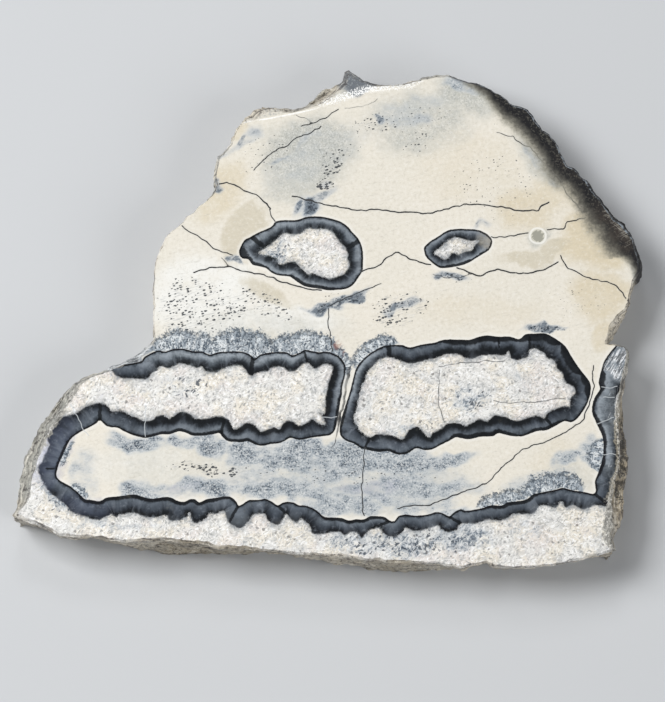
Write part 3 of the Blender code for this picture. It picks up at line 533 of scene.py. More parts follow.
# The studio, in metres: the floor's side, and each lamp's place, its size and its share of the key's power
FLOOR_SIDE = 3.0
LAMPS = [
    ("key", (-0.55, 0.15, 0.75), 0.5, 1.0),
    ("fill", (0.7, -0.5, 0.6), 0.6, 0.475),
    ("crest_strip", (-0.08, 0.64, 0.76), 0.25, 0.125),
]
WORLD_STRENGTH = 0.2
# The camera looks down at the photo's angle, 74 degrees above the face, through a long lens
CAMERA_AIM = (0.64, -5.67, 9.0)
CAMERA_WAY = (0.0, -0.28, 0.96)
VIEW_WIDTH = 106.4
LENS = 500
SENSOR_WIDTH = 36


def linear(hex_colour):
    """An sRGB hex colour as the linear values that shaders take."""
    values = [int(hex_colour[i:i + 2], 16) / 255 for i in (1, 3, 5)]
    return tuple(v / 12.92 if v <= 0.04045 else ((v + 0.055) / 1.055) ** 2.4 for v in values)


def rgba(hex_colour):
    return (*linear(hex_colour), 1.0)


# Shape


def unit(vectors):
    return vectors / np.linalg.norm(vectors, axis=-1, keepdims=True)


def control_rings():
    """Edge of the polished face, shoulder, belly and foot of the rim, with a corner for each point."""
    points = np.array(RIM)
    outline = points[:, :2]
    width = points[:, 2]
    foot = points[:, 3]
    along = unit(outline - np.roll(outline, 1, axis=0)) + unit(np.roll(outline, -1, axis=0) - outline)
    way = unit(np.stack((-along[:, 1], along[:, 0]), axis=1))

    def ring(reach, height):
        return np.column_stack((outline + way * reach[:, None], height))

    zero = np.zeros(len(points))
    shoulder_height = FACE_LEVEL - SHOULDER_DROP_LEAST - SHOULDER_DROP_PER_WIDTH * width
    return [
        ring(-width, zero + FACE_LEVEL),
        ring(zero, shoulder_height),
        ring(BELLY_SHARE_OF_FOOT * foot, zero + BELLY_HEIGHT),
        ring(foot, zero + BACK_LEVEL),
    ]


def refine(ring, guide, spacing):
    """The ring with its sides divided as the guide ring needs for that spacing."""
    fine = []
    lengths = np.linalg.norm(np.roll(guide, -1, axis=0) - guide, axis=1)
    for here, after, length in zip(ring, np.roll(ring, -1, axis=0), lengths):
        pieces = max(1, round(length / spacing))
        fine += [here + (after - here) * k / pieces for k in range(pieces)]
    return np.array(fine)


def fractal(spots, size, octaves):
    """Natural noise at each spot, about -1 to 1, with lumps of the given size along x, y and z."""
    return np.array([noise.fractal(Vector(spot / size), OCTAVE_FALL, OCTAVE_STEP, octaves) for spot in spots])


def rim_rows(look):
    """The rim's rings of points from the edge of the face down to the foot, with the break's relief."""
    rings = control_rings()
    guide = rings[1][:, :2]
    face, shoulder, belly, foot = (refine(ring, guide, FACE_SPACING) for ring in rings)
    away = unit(np.roll(shoulder, 1, axis=0) - np.roll(shoulder, -1, axis=0))
    away = np.stack((away[:, 1], -away[:, 0]), axis=1)
    chips = np.clip(fractal(shoulder, np.array(CHIP_SIZE), CHIP_OCTAVES), *CHIP_LIMITS) * look.edge_chips / MM
    for ring, share in ((face, 1.0), (shoulder, CHIP_SHARE_AT_SHOULDER)):
        ring[:, :2] += away * (chips * share)[:, None]
    rows = []
    for upper, lower, count in (
        (face, shoulder, BREAK_ROWS),
        (shoulder, belly, UPPER_WALL_ROWS),
        (belly, foot, LOWER_WALL_ROWS),
    ):
        rows += [upper + (lower - upper) * k / count for k in range(count)]
    rows = np.array(rows + [foot])
    along = np.roll(rows, -1, axis=1) - np.roll(rows, 1, axis=1)
    out = unit(np.cross(along, np.gradient(rows, axis=0)))
    relief = np.zeros(rows.shape[:2])
    for size, octaves, height in RIM_RELIEF:
        lumps = fractal(rows.reshape(-1, 3), np.array(size), octaves).reshape(relief.shape)
        relief += (lumps - RELIEF_SINK) * height * look.rim_relief / MM
    from_face = np.linalg.norm(rows - rows[0], axis=2)
    relief = np.clip(relief, *RELIEF_LIMITS) * np.clip(from_face / RELIEF_REACH, 0.0, 1.0)
    rows += out * relief[:, :, None]
    low, high = (np.array(corner) / MM for corner in CAD_BOX)
    rows = np.clip(rows, low, high)
    rows[1:, :, 2] = np.minimum(rows[1:, :, 2], FACE_LEVEL - BELOW_FACE)
    rows[-1, :, 2] = BACK_LEVEL
    return rows


def run_along(rows):
    """For each point of the rim, its way round the rim and its way down from the face."""
    round_rim = np.linalg.norm(np.roll(rows[0], -1, axis=0) - rows[0], axis=1)
    round_rim = np.concatenate(([0.0], np.cumsum(round_rim)[:-1]))
    down = np.cumsum(np.linalg.norm(np.diff(rows, axis=0, prepend=rows[:1]), axis=2), axis=0)
    return np.stack(np.broadcast_arrays(round_rim[None, :], down), axis=2)


def smooth_line(points, spacing, closed=False):
    """Points at about even steps on a Catmull-Rom curve through the given ones."""
    points = np.array(points, float)
    if closed:
        ends = np.vstack((points[-1:], points, points[:2]))
    else:
        ends = np.vstack((2 * points[0] - points[1], points, 2 * points[-1] - points[-2]))
    line = []
    for before, here, after, beyond in zip(ends, ends[1:], ends[2:], ends[3:]):
        steps = max(1, round(np.linalg.norm(after - here) / spacing))
        share = np.arange(steps)[:, None] / steps
        line.append(
            0.5 * (
                2 * here
                + (after - before) * share
                + (2 * before - 5 * here + 4 * after - beyond) * share ** 2
                + (3 * here - before - 3 * after + beyond) * share ** 3
            )
        )
    if not closed:
        line.append(points[-1:])
    return np.vstack(line)


def inside(spots, ring):
    """Whether each spot lies inside a closed ring."""
    x, y = spots[:, :1], spots[:, 1:2]
    x0, y0 = ring[:, 0], ring[:, 1]
    x1, y1 = np.roll(x0, -1), np.roll(y0, -1)
    level = y1 - y0
    level[level == 0] = 1e-9
    crosses = ((y0 > y) != (y1 > y)) & (x < x0 + (y - y0) * (x1 - x0) / level)
    return crosses.sum(axis=1) % 2 == 1


def tree_of(spots):
    tree = KDTree(len(spots))
    for i, (x, y) in enumerate(spots):
        tree.insert((x, y, 0.0), i)
    tree.balance()
    return tree


def clear_of(spots, others, gap):
    """The spots that keep a gap from all the others."""
    tree = tree_of(others)
    return np.array([tree.find((x, y, 0.0))[2] > gap for x, y in spots])


def net(ring, lines, spacing):
    """Vertices and triangles that fill a ring, with edges along the lines and even points between them."""
    kept = []
    for line in lines:
        held = inside(line, ring) & clear_of(line, ring, CLEAR_SHARE * spacing)
        runs = np.split(np.arange(len(line)), np.flatnonzero(~held))
        kept += [line[run[held[run]]] for run in runs if held[run].sum() > 1]
    low, high = ring.min(axis=0), ring.max(axis=0)
    rows = np.arange(low[1], high[1], spacing * math.sqrt(3) / 2)
    columns = np.arange(low[0], high[0], spacing)
    x = columns[None, :] + (np.arange(len(rows)) % 2)[:, None] * spacing / 2
    grid = np.column_stack((x.ravel(), np.repeat(rows, len(columns))))
    fixed = np.vstack([ring] + kept)
    grid = grid[clear_of(grid, fixed, CLEAR_SHARE * spacing)]
    grid = grid[inside(grid, ring)]
    edges = []
    start = len(ring)
    for line in kept:
        edges += [(start + k, start + k + 1) for k in range(len(line) - 1)]
        start += len(line)
    spots = [Vector(spot) for spot in np.vstack((fixed, grid))]
    loop = list(range(len(ring)))
    vertices, _, triangles, *_ = delaunay_2d_cdt(spots, edges, [loop], 1, 1e-4)
    return vertices, triangles


def deselect():
    if bpy.context.object and bpy.context.object.mode != "OBJECT":
        bpy.ops.object.mode_set(mode="OBJECT")
    bpy.ops.object.select_all(action="DESELECT")


def corner_spots(mesh, values):
    """A value of each vertex, for each corner of each face."""
    corners = np.zeros(len(mesh.loops), np.int32)
    mesh.loops.foreach_get("vertex_index", corners)
    return np.asarray(values)[corners]


def lay_flat(mesh, places):
    """Lays the surface out on the sheet that its finish is baked on."""
    sheet = mesh.uv_layers.new(name=SHEET)
    sheet.data.foreach_set("uv", places.astype(np.float32).ravel())


def rim_wall(rows, material):
    """The rim, pulled down ring by ring from the edge of the polished face."""
    deselect()
    count = len(rows[0])
    bpy.ops.mesh.primitive_circle_add(vertices=count, radius=0.05, fill_type="NOTHING")
    wall = bpy.context.object
    bpy.ops.object.mode_set(mode="EDIT")
    mesh = bmesh.from_edit_mesh(wall.data)
    column = mesh.verts.layers.int.new("column")
    level = mesh.verts.layers.int.new("level")
    for vertex in mesh.verts:
        vertex[column] = vertex.index
    for number, ring in enumerate(rows):
        if number:
            bpy.ops.mesh.extrude_region_move()
        mesh = bmesh.from_edit_mesh(wall.data)
        column = mesh.verts.layers.int["column"]
        level = mesh.verts.layers.int["level"]
        for vertex in mesh.verts:
            if vertex.select:
                vertex.co = ring[vertex[column]] * MM
                vertex[level] = number
        bmesh.update_edit_mesh(wall.data)
    deselect()
    mesh = wall.data
    column, level = (
        corner_spots(mesh, [item.value for item in mesh.attributes[name].data]).reshape(-1, 4)
        for name in ("column", "level")
    )
    strip = column.min(axis=1)
    over_the_seam = column.max(axis=1) - strip > count / 2
    strip[over_the_seam] = count - 1
    column = np.where(over_the_seam[:, None] & (column == 0), count, column)
    strip = strip * WALL_STRIPS // count
    across = (column * WALL_STRIPS / count - strip[:, None]) * WALL_WIDTH_ON_SHEET
    up = (strip[:, None] + WALL_STRIP_FILL * (1 - level / len(rows))) * WALL_HEIGHT_ON_SHEET
    lay_flat(mesh, np.stack((WALL_CORNER[0] + across, WALL_CORNER[1] + up), axis=2).reshape(-1, 2))
    for name in ("column", "level"):
        mesh.attributes.remove(mesh.attributes[name])
    mesh.materials.append(material)
    return wall


def cap(name, ring, lines, spacing, corner, scale, material):
    """A flat net across one end of the rim."""
    vertices, triangles = net(ring[:, :2], lines, spacing)
    mesh = bpy.data.meshes.new(name)
    mesh.from_pydata([(v.x * MM, v.y * MM, ring[0, 2] * MM) for v in vertices], [], triangles)
    lay_flat(mesh, np.array(corner) + (corner_spots(mesh, vertices) - ring[:, :2].min(axis=0)) * scale)
    mesh.materials.append(material)
    lid = bpy.data.objects.new(name, mesh)
    bpy.context.scene.collection.objects.link(lid)
    return lid


def band_lines(spacing):
    """The enamel's outer and inner lines as fine polylines, each with whether it is closed."""
    outer = [(EYE_OUTER, True), (BEAD_OUTER, True), (PLATE_OUTER, True), (RIBBON_OUTER, False)]
    inner = [(EYE_INNER, True), (BEAD_INNER, True), (PLATE_INNER, True), (RIBBON_INNER, False)]
    sides = (outer, inner)
    return tuple([(smooth_line(line, spacing, shut), shut) for line, shut in side] for side in sides)


def jogged(spots, jogs):
    """The spots moved about by natural noise."""
    for size, reach in jogs:
        shifts = [
            [noise.noise(Vector((x / size, y / size, depth))) for depth in JOG_DEPTHS]
            for x, y in spots
        ]
        spots = spots + np.array(shifts) * reach
    return spots


def divided(points, spacing):
    """Points at even steps on the straight runs between the given ones."""
    points = np.array(points, float)
    way = np.cumsum(np.linalg.norm(np.diff(points, axis=0, prepend=points[:1]), axis=1))
    steps = np.linspace(0.0, way[-1], max(2, round(way[-1] / spacing)))
    return np.column_stack([np.interp(steps, way, values) for values in points.T])


def crack_lines(table, spacing):
    """The cracks as fine polylines with small jogs in them."""
    return [jogged(divided(line, spacing), CRACK_JOGS) for line in table]


def slab(look):
    """The slice as one closed mesh: rim, polished face and sawn back."""
    rows = rim_rows(look)
    wall = rim_wall(rows, broken_material(look))
    lines = []
    for spacing in (FACE_SPACING, BACK_SPACING):
        outer, inner = band_lines(spacing)
        lines.append([np.vstack((line, line[:1])) if shut else line for line, shut in outer + inner])
    lines[0] += crack_lines([line for _, _, line in CRACKS] + PALE_CRACKS, FACE_SPACING)
    lines[0].append(smooth_line(FACET_LINE, FACE_SPACING))
    face = cap("face", rows[0], lines[0], FACE_SPACING, FACE_CORNER, FACE_SCALE, polished_material(look))
    back = cap("back", rows[-1], lines[1], BACK_SPACING, BACK_CORNER, BACK_SCALE, sawn_material(look))
    deselect()
    for part in (wall, face, back):
        part.select_set(True)
    bpy.context.view_layer.objects.active = wall
    bpy.ops.object.join()
    bpy.ops.object.mode_set(mode="EDIT")
    bpy.ops.mesh.select_all(action="SELECT")
    bpy.ops.mesh.remove_doubles(threshold=MERGE_GAP * MM)
    bpy.ops.mesh.normals_make_consistent(inside=False)
    bpy.ops.object.mode_set(mode="OBJECT")
    bpy.ops.object.shade_smooth_by_angle(angle=SHARP_ANGLE)
    return wall, rows


# Marks


def stack(lines):
    """All lines' points in one array, with the index of the point before and after each."""
    points = np.vstack([line for line, _ in lines])
    before = np.arange(len(points)) - 1
    after = np.arange(len(points)) + 1
    start = 0
    for line, shut in lines:
        end = start + len(line) - 1
        before[start] = end if shut else start
        after[end] = start if shut else end
        start = end + 1
    return points, before, after


def nearest(spots, lines):
    """Signed distance to the nearest line, over 0 on its right, the spot on it and its point's index."""
    points, before, after = stack(lines)
    tree = tree_of(points)
    hit = np.array([tree.find((x, y, 0.0))[1] for x, y in spots])
    least = np.full(len(spots), np.inf)
    root = np.zeros_like(spots)
    heading = points[after[hit]] - points[before[hit]]
    for start, end in ((before[hit], hit), (hit, after[hit])):
        run = points[end] - points[start]
        square = np.maximum((run ** 2).sum(axis=1), 1e-9)
        share = ((spots - points[start]) * run).sum(axis=1) / square
        foot = points[start] + np.clip(share, 0.0, 1.0)[:, None] * run
        away = np.linalg.norm(spots - foot, axis=1)
        closer = away < least
        least[closer] = away[closer]
        root[closer] = foot[closer]
        along = closer & (share > 0.0) & (share < 1.0)
        heading[along] = run[along]
    away = spots - root
    side = np.where(heading[:, 0] * away[:, 1] - heading[:, 1] * away[:, 0] > 0, -1.0, 1.0)
    return side * least, root, hit


def oval(spots, x, y, half_width, half_height, turn):
    """How far out each spot lies from the middle of an oval, whose edge is at 1."""
    turn = math.radians(turn)
    away = spots - (x, y)
    across = (away[:, 0] * math.cos(turn) + away[:, 1] * math.sin(turn)) / half_width
    up = (away[:, 1] * math.cos(turn) - away[:, 0] * math.sin(turn)) / half_height
    return np.hypot(across, up)


def patch(spots, *place):
    """How deep each spot lies in a soft oval, from 0 outside it to 1 well inside."""
    depth = np.clip(PATCH_SLOPE * (1.0 - oval(spots, *place)), 0.0, 1.0)
    return depth * depth * (3.0 - 2.0 * depth)


def patched(spots, table):
    """Strongest of the soft patches at each spot."""
    level = np.zeros(len(spots))
    for *place, strength in table:
        level = np.maximum(level, strength * patch(spots, *place))
    return level


def write_mark(mesh, name, values):
    if values.ndim > 1:
        layer = mesh.attributes.new(name, "FLOAT_VECTOR", "POINT")
        layer.data.foreach_set("vector", values.astype(np.float32).ravel())
    else:
        layer = mesh.attributes.new(name, "FLOAT", "POINT")
        layer.data.foreach_set("value", values.astype(np.float32))


def mark_bands(mesh, spots):
    """Where each vertex lies between the enamel's two lines, and what follows the outer one."""
    outer, inner = band_lines(FACE_SPACING / 2)
    outer_gap, root, _ = nearest(spots, outer)
    inner_gap, _, _ = nearest(spots, inner)
    across = np.clip(outer_gap / np.maximum(outer_gap - inner_gap, TINY), 0.0, 1.0)
    across = np.where(outer_gap <= 0, 0.0, np.where(inner_gap >= 0, 1.0, across))
    write_mark(mesh, "outer_gap", outer_gap)
    write_mark(mesh, "inner_gap", inner_gap)
    write_mark(mesh, "across", across)
    write_mark(mesh, "root", np.column_stack((root, STREAK_SHARE * outer_gap)))
    write_mark(mesh, "ink", np.maximum(INK_WIDTH, patched(root, INK_STRETCHES)))
    fringe = np.zeros(len(spots))
    reaches = np.full(len(spots), TINY)
    weights = np.full(len(spots), TINY)
    for *place, strength, reach in FRINGES:
        level = strength * patch(root, *place)
        reaches += level * reach
        weights += level
        fringe = np.maximum(fringe, level)
    write_mark(mesh, "fringe", np.where(outer_gap < 0, fringe, 0.0))
    write_mark(mesh, "fringe_share", -outer_gap * weights / reaches)
    joints = [(np.array(line), False) for _, line in JOINTS]
    widths = np.repeat([width for width, _ in JOINTS], [len(line) for line, _ in joints])
    joint_gap, _, hit = nearest(spots, joints)
    write_mark(mesh, "joint", np.abs(joint_gap) / widths[hit])


def mark_stains(mesh, spots):
    """The soft patches, the lenses, the dark edge and the crumbling edges at each vertex."""
    uneven = jogged(spots, PATCH_JOGS)
    for name, table in PATCHES.items():
        write_mark(mesh, name, patched(uneven, table))
    write_mark(mesh, "lens", np.min([oval(spots, *place) for place in LENSES], axis=0))
    dark = smooth_line(DARK_EDGE, FACE_SPACING)
    dark_gap, _, hit = nearest(spots, [(dark[:, :2], False)])
    stain = np.clip(1 - np.abs(dark_gap) / dark[hit, 2], -1.0, 1.0)
    write_mark(mesh, "dark", stain * np.clip(dark[hit, 2] / DARK_REACH, 0.0, 1.0))
    flaky = [smooth_line(line, FACE_SPACING) for line in FLAKY_EDGES]
    flaky_gap, flaky_root, hit = nearest(spots, [(line[:, :2], False) for line in flaky])
    write_mark(mesh, "flaky", np.clip(1 - np.abs(flaky_gap) / np.vstack(flaky)[hit, 2], -1.0, 1.0))
    write_mark(mesh, "rim_line", np.column_stack((flaky_root, FLAKE_SHARE * flaky_gap)))


def mark_cracks(mesh, spots):
    """The nearest cracks at each vertex, and how much of their depth they have there."""
    cracks = [(line, False) for line in crack_lines([line for _, _, line in CRACKS], FACE_SPACING)]
    widths = np.repeat([width for width, _, _ in CRACKS], [len(line) for line, _ in cracks])
    depths = np.repeat([strength for _, strength, _ in CRACKS], [len(line) for line, _ in cracks])
    crack_gap, _, hit = nearest(spots, cracks)
    crack_gap = np.abs(crack_gap)
    write_mark(mesh, "crack", crack_gap / widths[hit])
    write_mark(mesh, "crack_dark", depths[hit])
    pale = [(line, False) for line in crack_lines(PALE_CRACKS, FACE_SPACING)]
    write_mark(mesh, "pale_crack", np.abs(nearest(spots, pale)[0]))
    return depths[hit] * np.clip(1 - crack_gap / CRACK_REACH, 0.0, 1.0)


def mark_facet(mesh, spots):
    """Where each vertex lies on the strip that is ground off the crest and on its painted highlights, and how
    deep it is there.
    """
    arris = np.abs(nearest(spots, [(smooth_line(FACET_LINE, FACE_SPACING), False)])[0])
    write_mark(mesh, "painted_glint", arris + np.interp(spots[:, 0], *PAINTED_GLINT_FADES))
    beyond = spots[:, 1] - np.interp(spots[:, 0], *np.transpose(FACET_LINE))
    write_mark(mesh, "ground", np.clip(beyond / FACE_SPACING, 0.0, 1.0))
    # Painted highlight: white glitter on the ground strip, strongest a little past the line
    bright = np.clip(1.0 - np.abs(beyond - PAINTED_SPARKLE_MIDDLE) / PAINTED_SPARKLE_REACH, 0.0, 1.0)
    write_mark(mesh, "painted_sparkle", bright * np.interp(spots[:, 0], *PAINTED_SPARKLE_ALONG))
    return FACET_SLOPE * np.maximum(beyond, 0.0)


def mark_rim(mesh, places, rows):
    """The way round and down the rim for each vertex, and whether it lies on the rim."""
    rim = rows.reshape(-1, 3)
    tree = KDTree(len(rim))
    for i, spot in enumerate(rim):
        tree.insert(spot, i)
    tree.balance()
    found = [tree.find(place) for place in places]
    on_rim = np.array([gap < MERGE_GAP for _, _, gap in found])
    way = run_along(rows).reshape(-1, 2)[[i for _, i, _ in found]]
    write_mark(mesh, "rim", np.column_stack((np.where(on_rim[:, None], way, 0.0), np.zeros(len(way)))))
    return on_rim


def mark(piece, rows, look):
    """Writes on each vertex where it lies in the tooth, sinks the cracks a little and grinds the crest."""
    mesh = piece.data
    places = np.zeros(len(mesh.vertices) * 3, np.float32)
    mesh.vertices.foreach_get("co", places)
    places = places.reshape(-1, 3).astype(float) / MM
    spots = places[:, :2]
    mark_bands(mesh, spots)
    mark_stains(mesh, spots)
    groove = mark_cracks(mesh, spots) * look.crack_depth / MM
    ground = mark_facet(mesh, spots)
    on_rim = mark_rim(mesh, places, rows)
    on_face = places[:, 2] > FACE_LEVEL - SAME_LEVEL
    places[:, 2] -= np.where(on_face & ~on_rim, groove, 0.0)
    places[:, 2] = np.minimum(places[:, 2], FACE_LEVEL - ground)
    mesh.vertices.foreach_set("co", (places * MM).astype(np.float32).ravel())
    mesh.update()


# Materials


def add(tree, kind, inputs=(), stops=(), **settings):
    """Adds a shader node, with its settings, and gives its inputs numbers, colours or other nodes."""
    node = tree.nodes.new("ShaderNode" + kind)
    for name, value in settings.items():
        setattr(node, name, value)
    for name, value in dict(inputs).items():
        if isinstance(name, int):
            socket = node.inputs[name]
        else:
            socket = next(s for s in node.inputs if s.enabled and s.name == name)
        if isinstance(value, bpy.types.Node):
            value = next(s for s in value.outputs if s.enabled)
        if isinstance(value, bpy.types.NodeSocket):
            tree.links.new(value, socket)
        else:
            socket.default_value = value
    if stops:
        ramp = node.color_ramp.elements
        while len(ramp) < len(stops):
            ramp.new(1.0)
        for element, (position, colour) in zip(ramp, stops):
            element.position = position
            element.color = rgba(colour)
    return node


def new_material(name):
    material = bpy.data.materials.new(name)
    material.use_nodes = True
    tree = material.node_tree
    shader = tree.nodes["Principled BSDF"]
    object_space = add(tree, "TexCoord").outputs["Object"]
    place = add(tree, "Mapping", {"Vector": object_space, "Scale": (1 / MM,) * 3})
    return material, tree, shader, place


def mottled(tree, amount, vector, size, contrast, detail=6.0, roughness=0.7):
    """An amount that natural grain raises and lowers, with lumps of the given size."""
    grain = {"Vector": vector, "Scale": 1 / size, "Detail": detail, "Roughness": roughness}
    levels = {"From Min": 0.5 - 1 / contrast, "From Max": 0.5 + 1 / contrast, "To Max": 2.0}
    gain = add(tree, "MapRange", {"Value": add(tree, "TexNoise", grain), **levels})
    return add(tree, "Math", {0: gain, 1: amount}, operation="MULTIPLY")


def flecked(tree, amount, vector, size):
    """Small ragged spots, over 0 inside them, more and larger ones where an amount is high."""
    ragged = add(tree, "TexNoise", {"Vector": vector, "Scale": 2.5 / size, "Detail": 4.0}).outputs["Color"]
    pulled = add(tree, "VectorMath", {0: ragged, 1: (0.6 * size,) * 3, 2: vector}, operation="MULTIPLY_ADD")
    cells = add(tree, "TexVoronoi", {"Vector": pulled, "Scale": 1 / size})
    luck = add(tree, "SeparateColor", {"Color": cells.outputs["Color"]}).outputs["Red"]
    luck = add(tree, "Math", {0: luck, 1: 2.2}, operation="POWER")
    radius = add(tree, "Math", {0: luck, 1: amount}, operation="MULTIPLY")
    far = add(tree, "Math", {0: cells.outputs["Distance"], 1: -1.0}, operation="MULTIPLY")
    return add(tree, "Math", {0: radius, 1: 0.5, 2: far}, operation="MULTIPLY_ADD")


def wavered(tree, value, vector, size, reach):
    """A value moved either way by natural grain of the given size."""
    grain = add(tree, "TexNoise", {"Vector": vector, "Scale": 1 / size, "Detail": 4.0, "Roughness": 0.6})
    offset = add(tree, "Math", {0: grain, 1: 3 * reach, 2: -1.5 * reach}, operation="MULTIPLY_ADD")
    return add(tree, "Math", {0: value, 1: offset}, operation="ADD")


def drawn_out(tree, vector, turn, length, width):
    """The place stretched so that round grain comes out as streaks, turned by some degrees."""
    angles = (0.0, 0.0, -math.radians(turn))
    turned = add(tree, "Mapping", {"Vector": vector, "Rotation": angles})
    return add(tree, "Mapping", {"Vector": turned, "Scale": (1 / length, 1 / width, 1.0)})


def painted(tree, base, layers):
    """Lays colours over a base. A layer has a value, the two levels it fades in between and a strength."""
    for value, start, end, strength, colour in layers:
        if isinstance(colour, str):
            colour = rgba(colour)
        levels = {"Value": value, "From Min": start, "From Max": end, "To Max": strength}
        mask = add(tree, "MapRange", levels, interpolation_type="SMOOTHSTEP")
        base = add(tree, "Mix", {"Factor": mask, "A": base, "B": colour}, data_type="RGBA")
    return base


def read_marks(tree):
    """Everything that is written on the vertices, by name."""
    single = ["outer_gap", "inner_gap", "across", "ink", "fringe", "fringe_share", "dark", "crack"]
    single += ["crack_dark", "pale_crack", "painted_glint", "ground", "painted_sparkle", "joint", "lens", "flaky", *PATCHES]
    marks = {name: add(tree, "Attribute", attribute_name=name).outputs["Fac"] for name in single}
    for name in ("root", "rim", "rim_line"):
        marks[name] = add(tree, "Attribute", attribute_name=name).outputs["Vector"]
    return marks


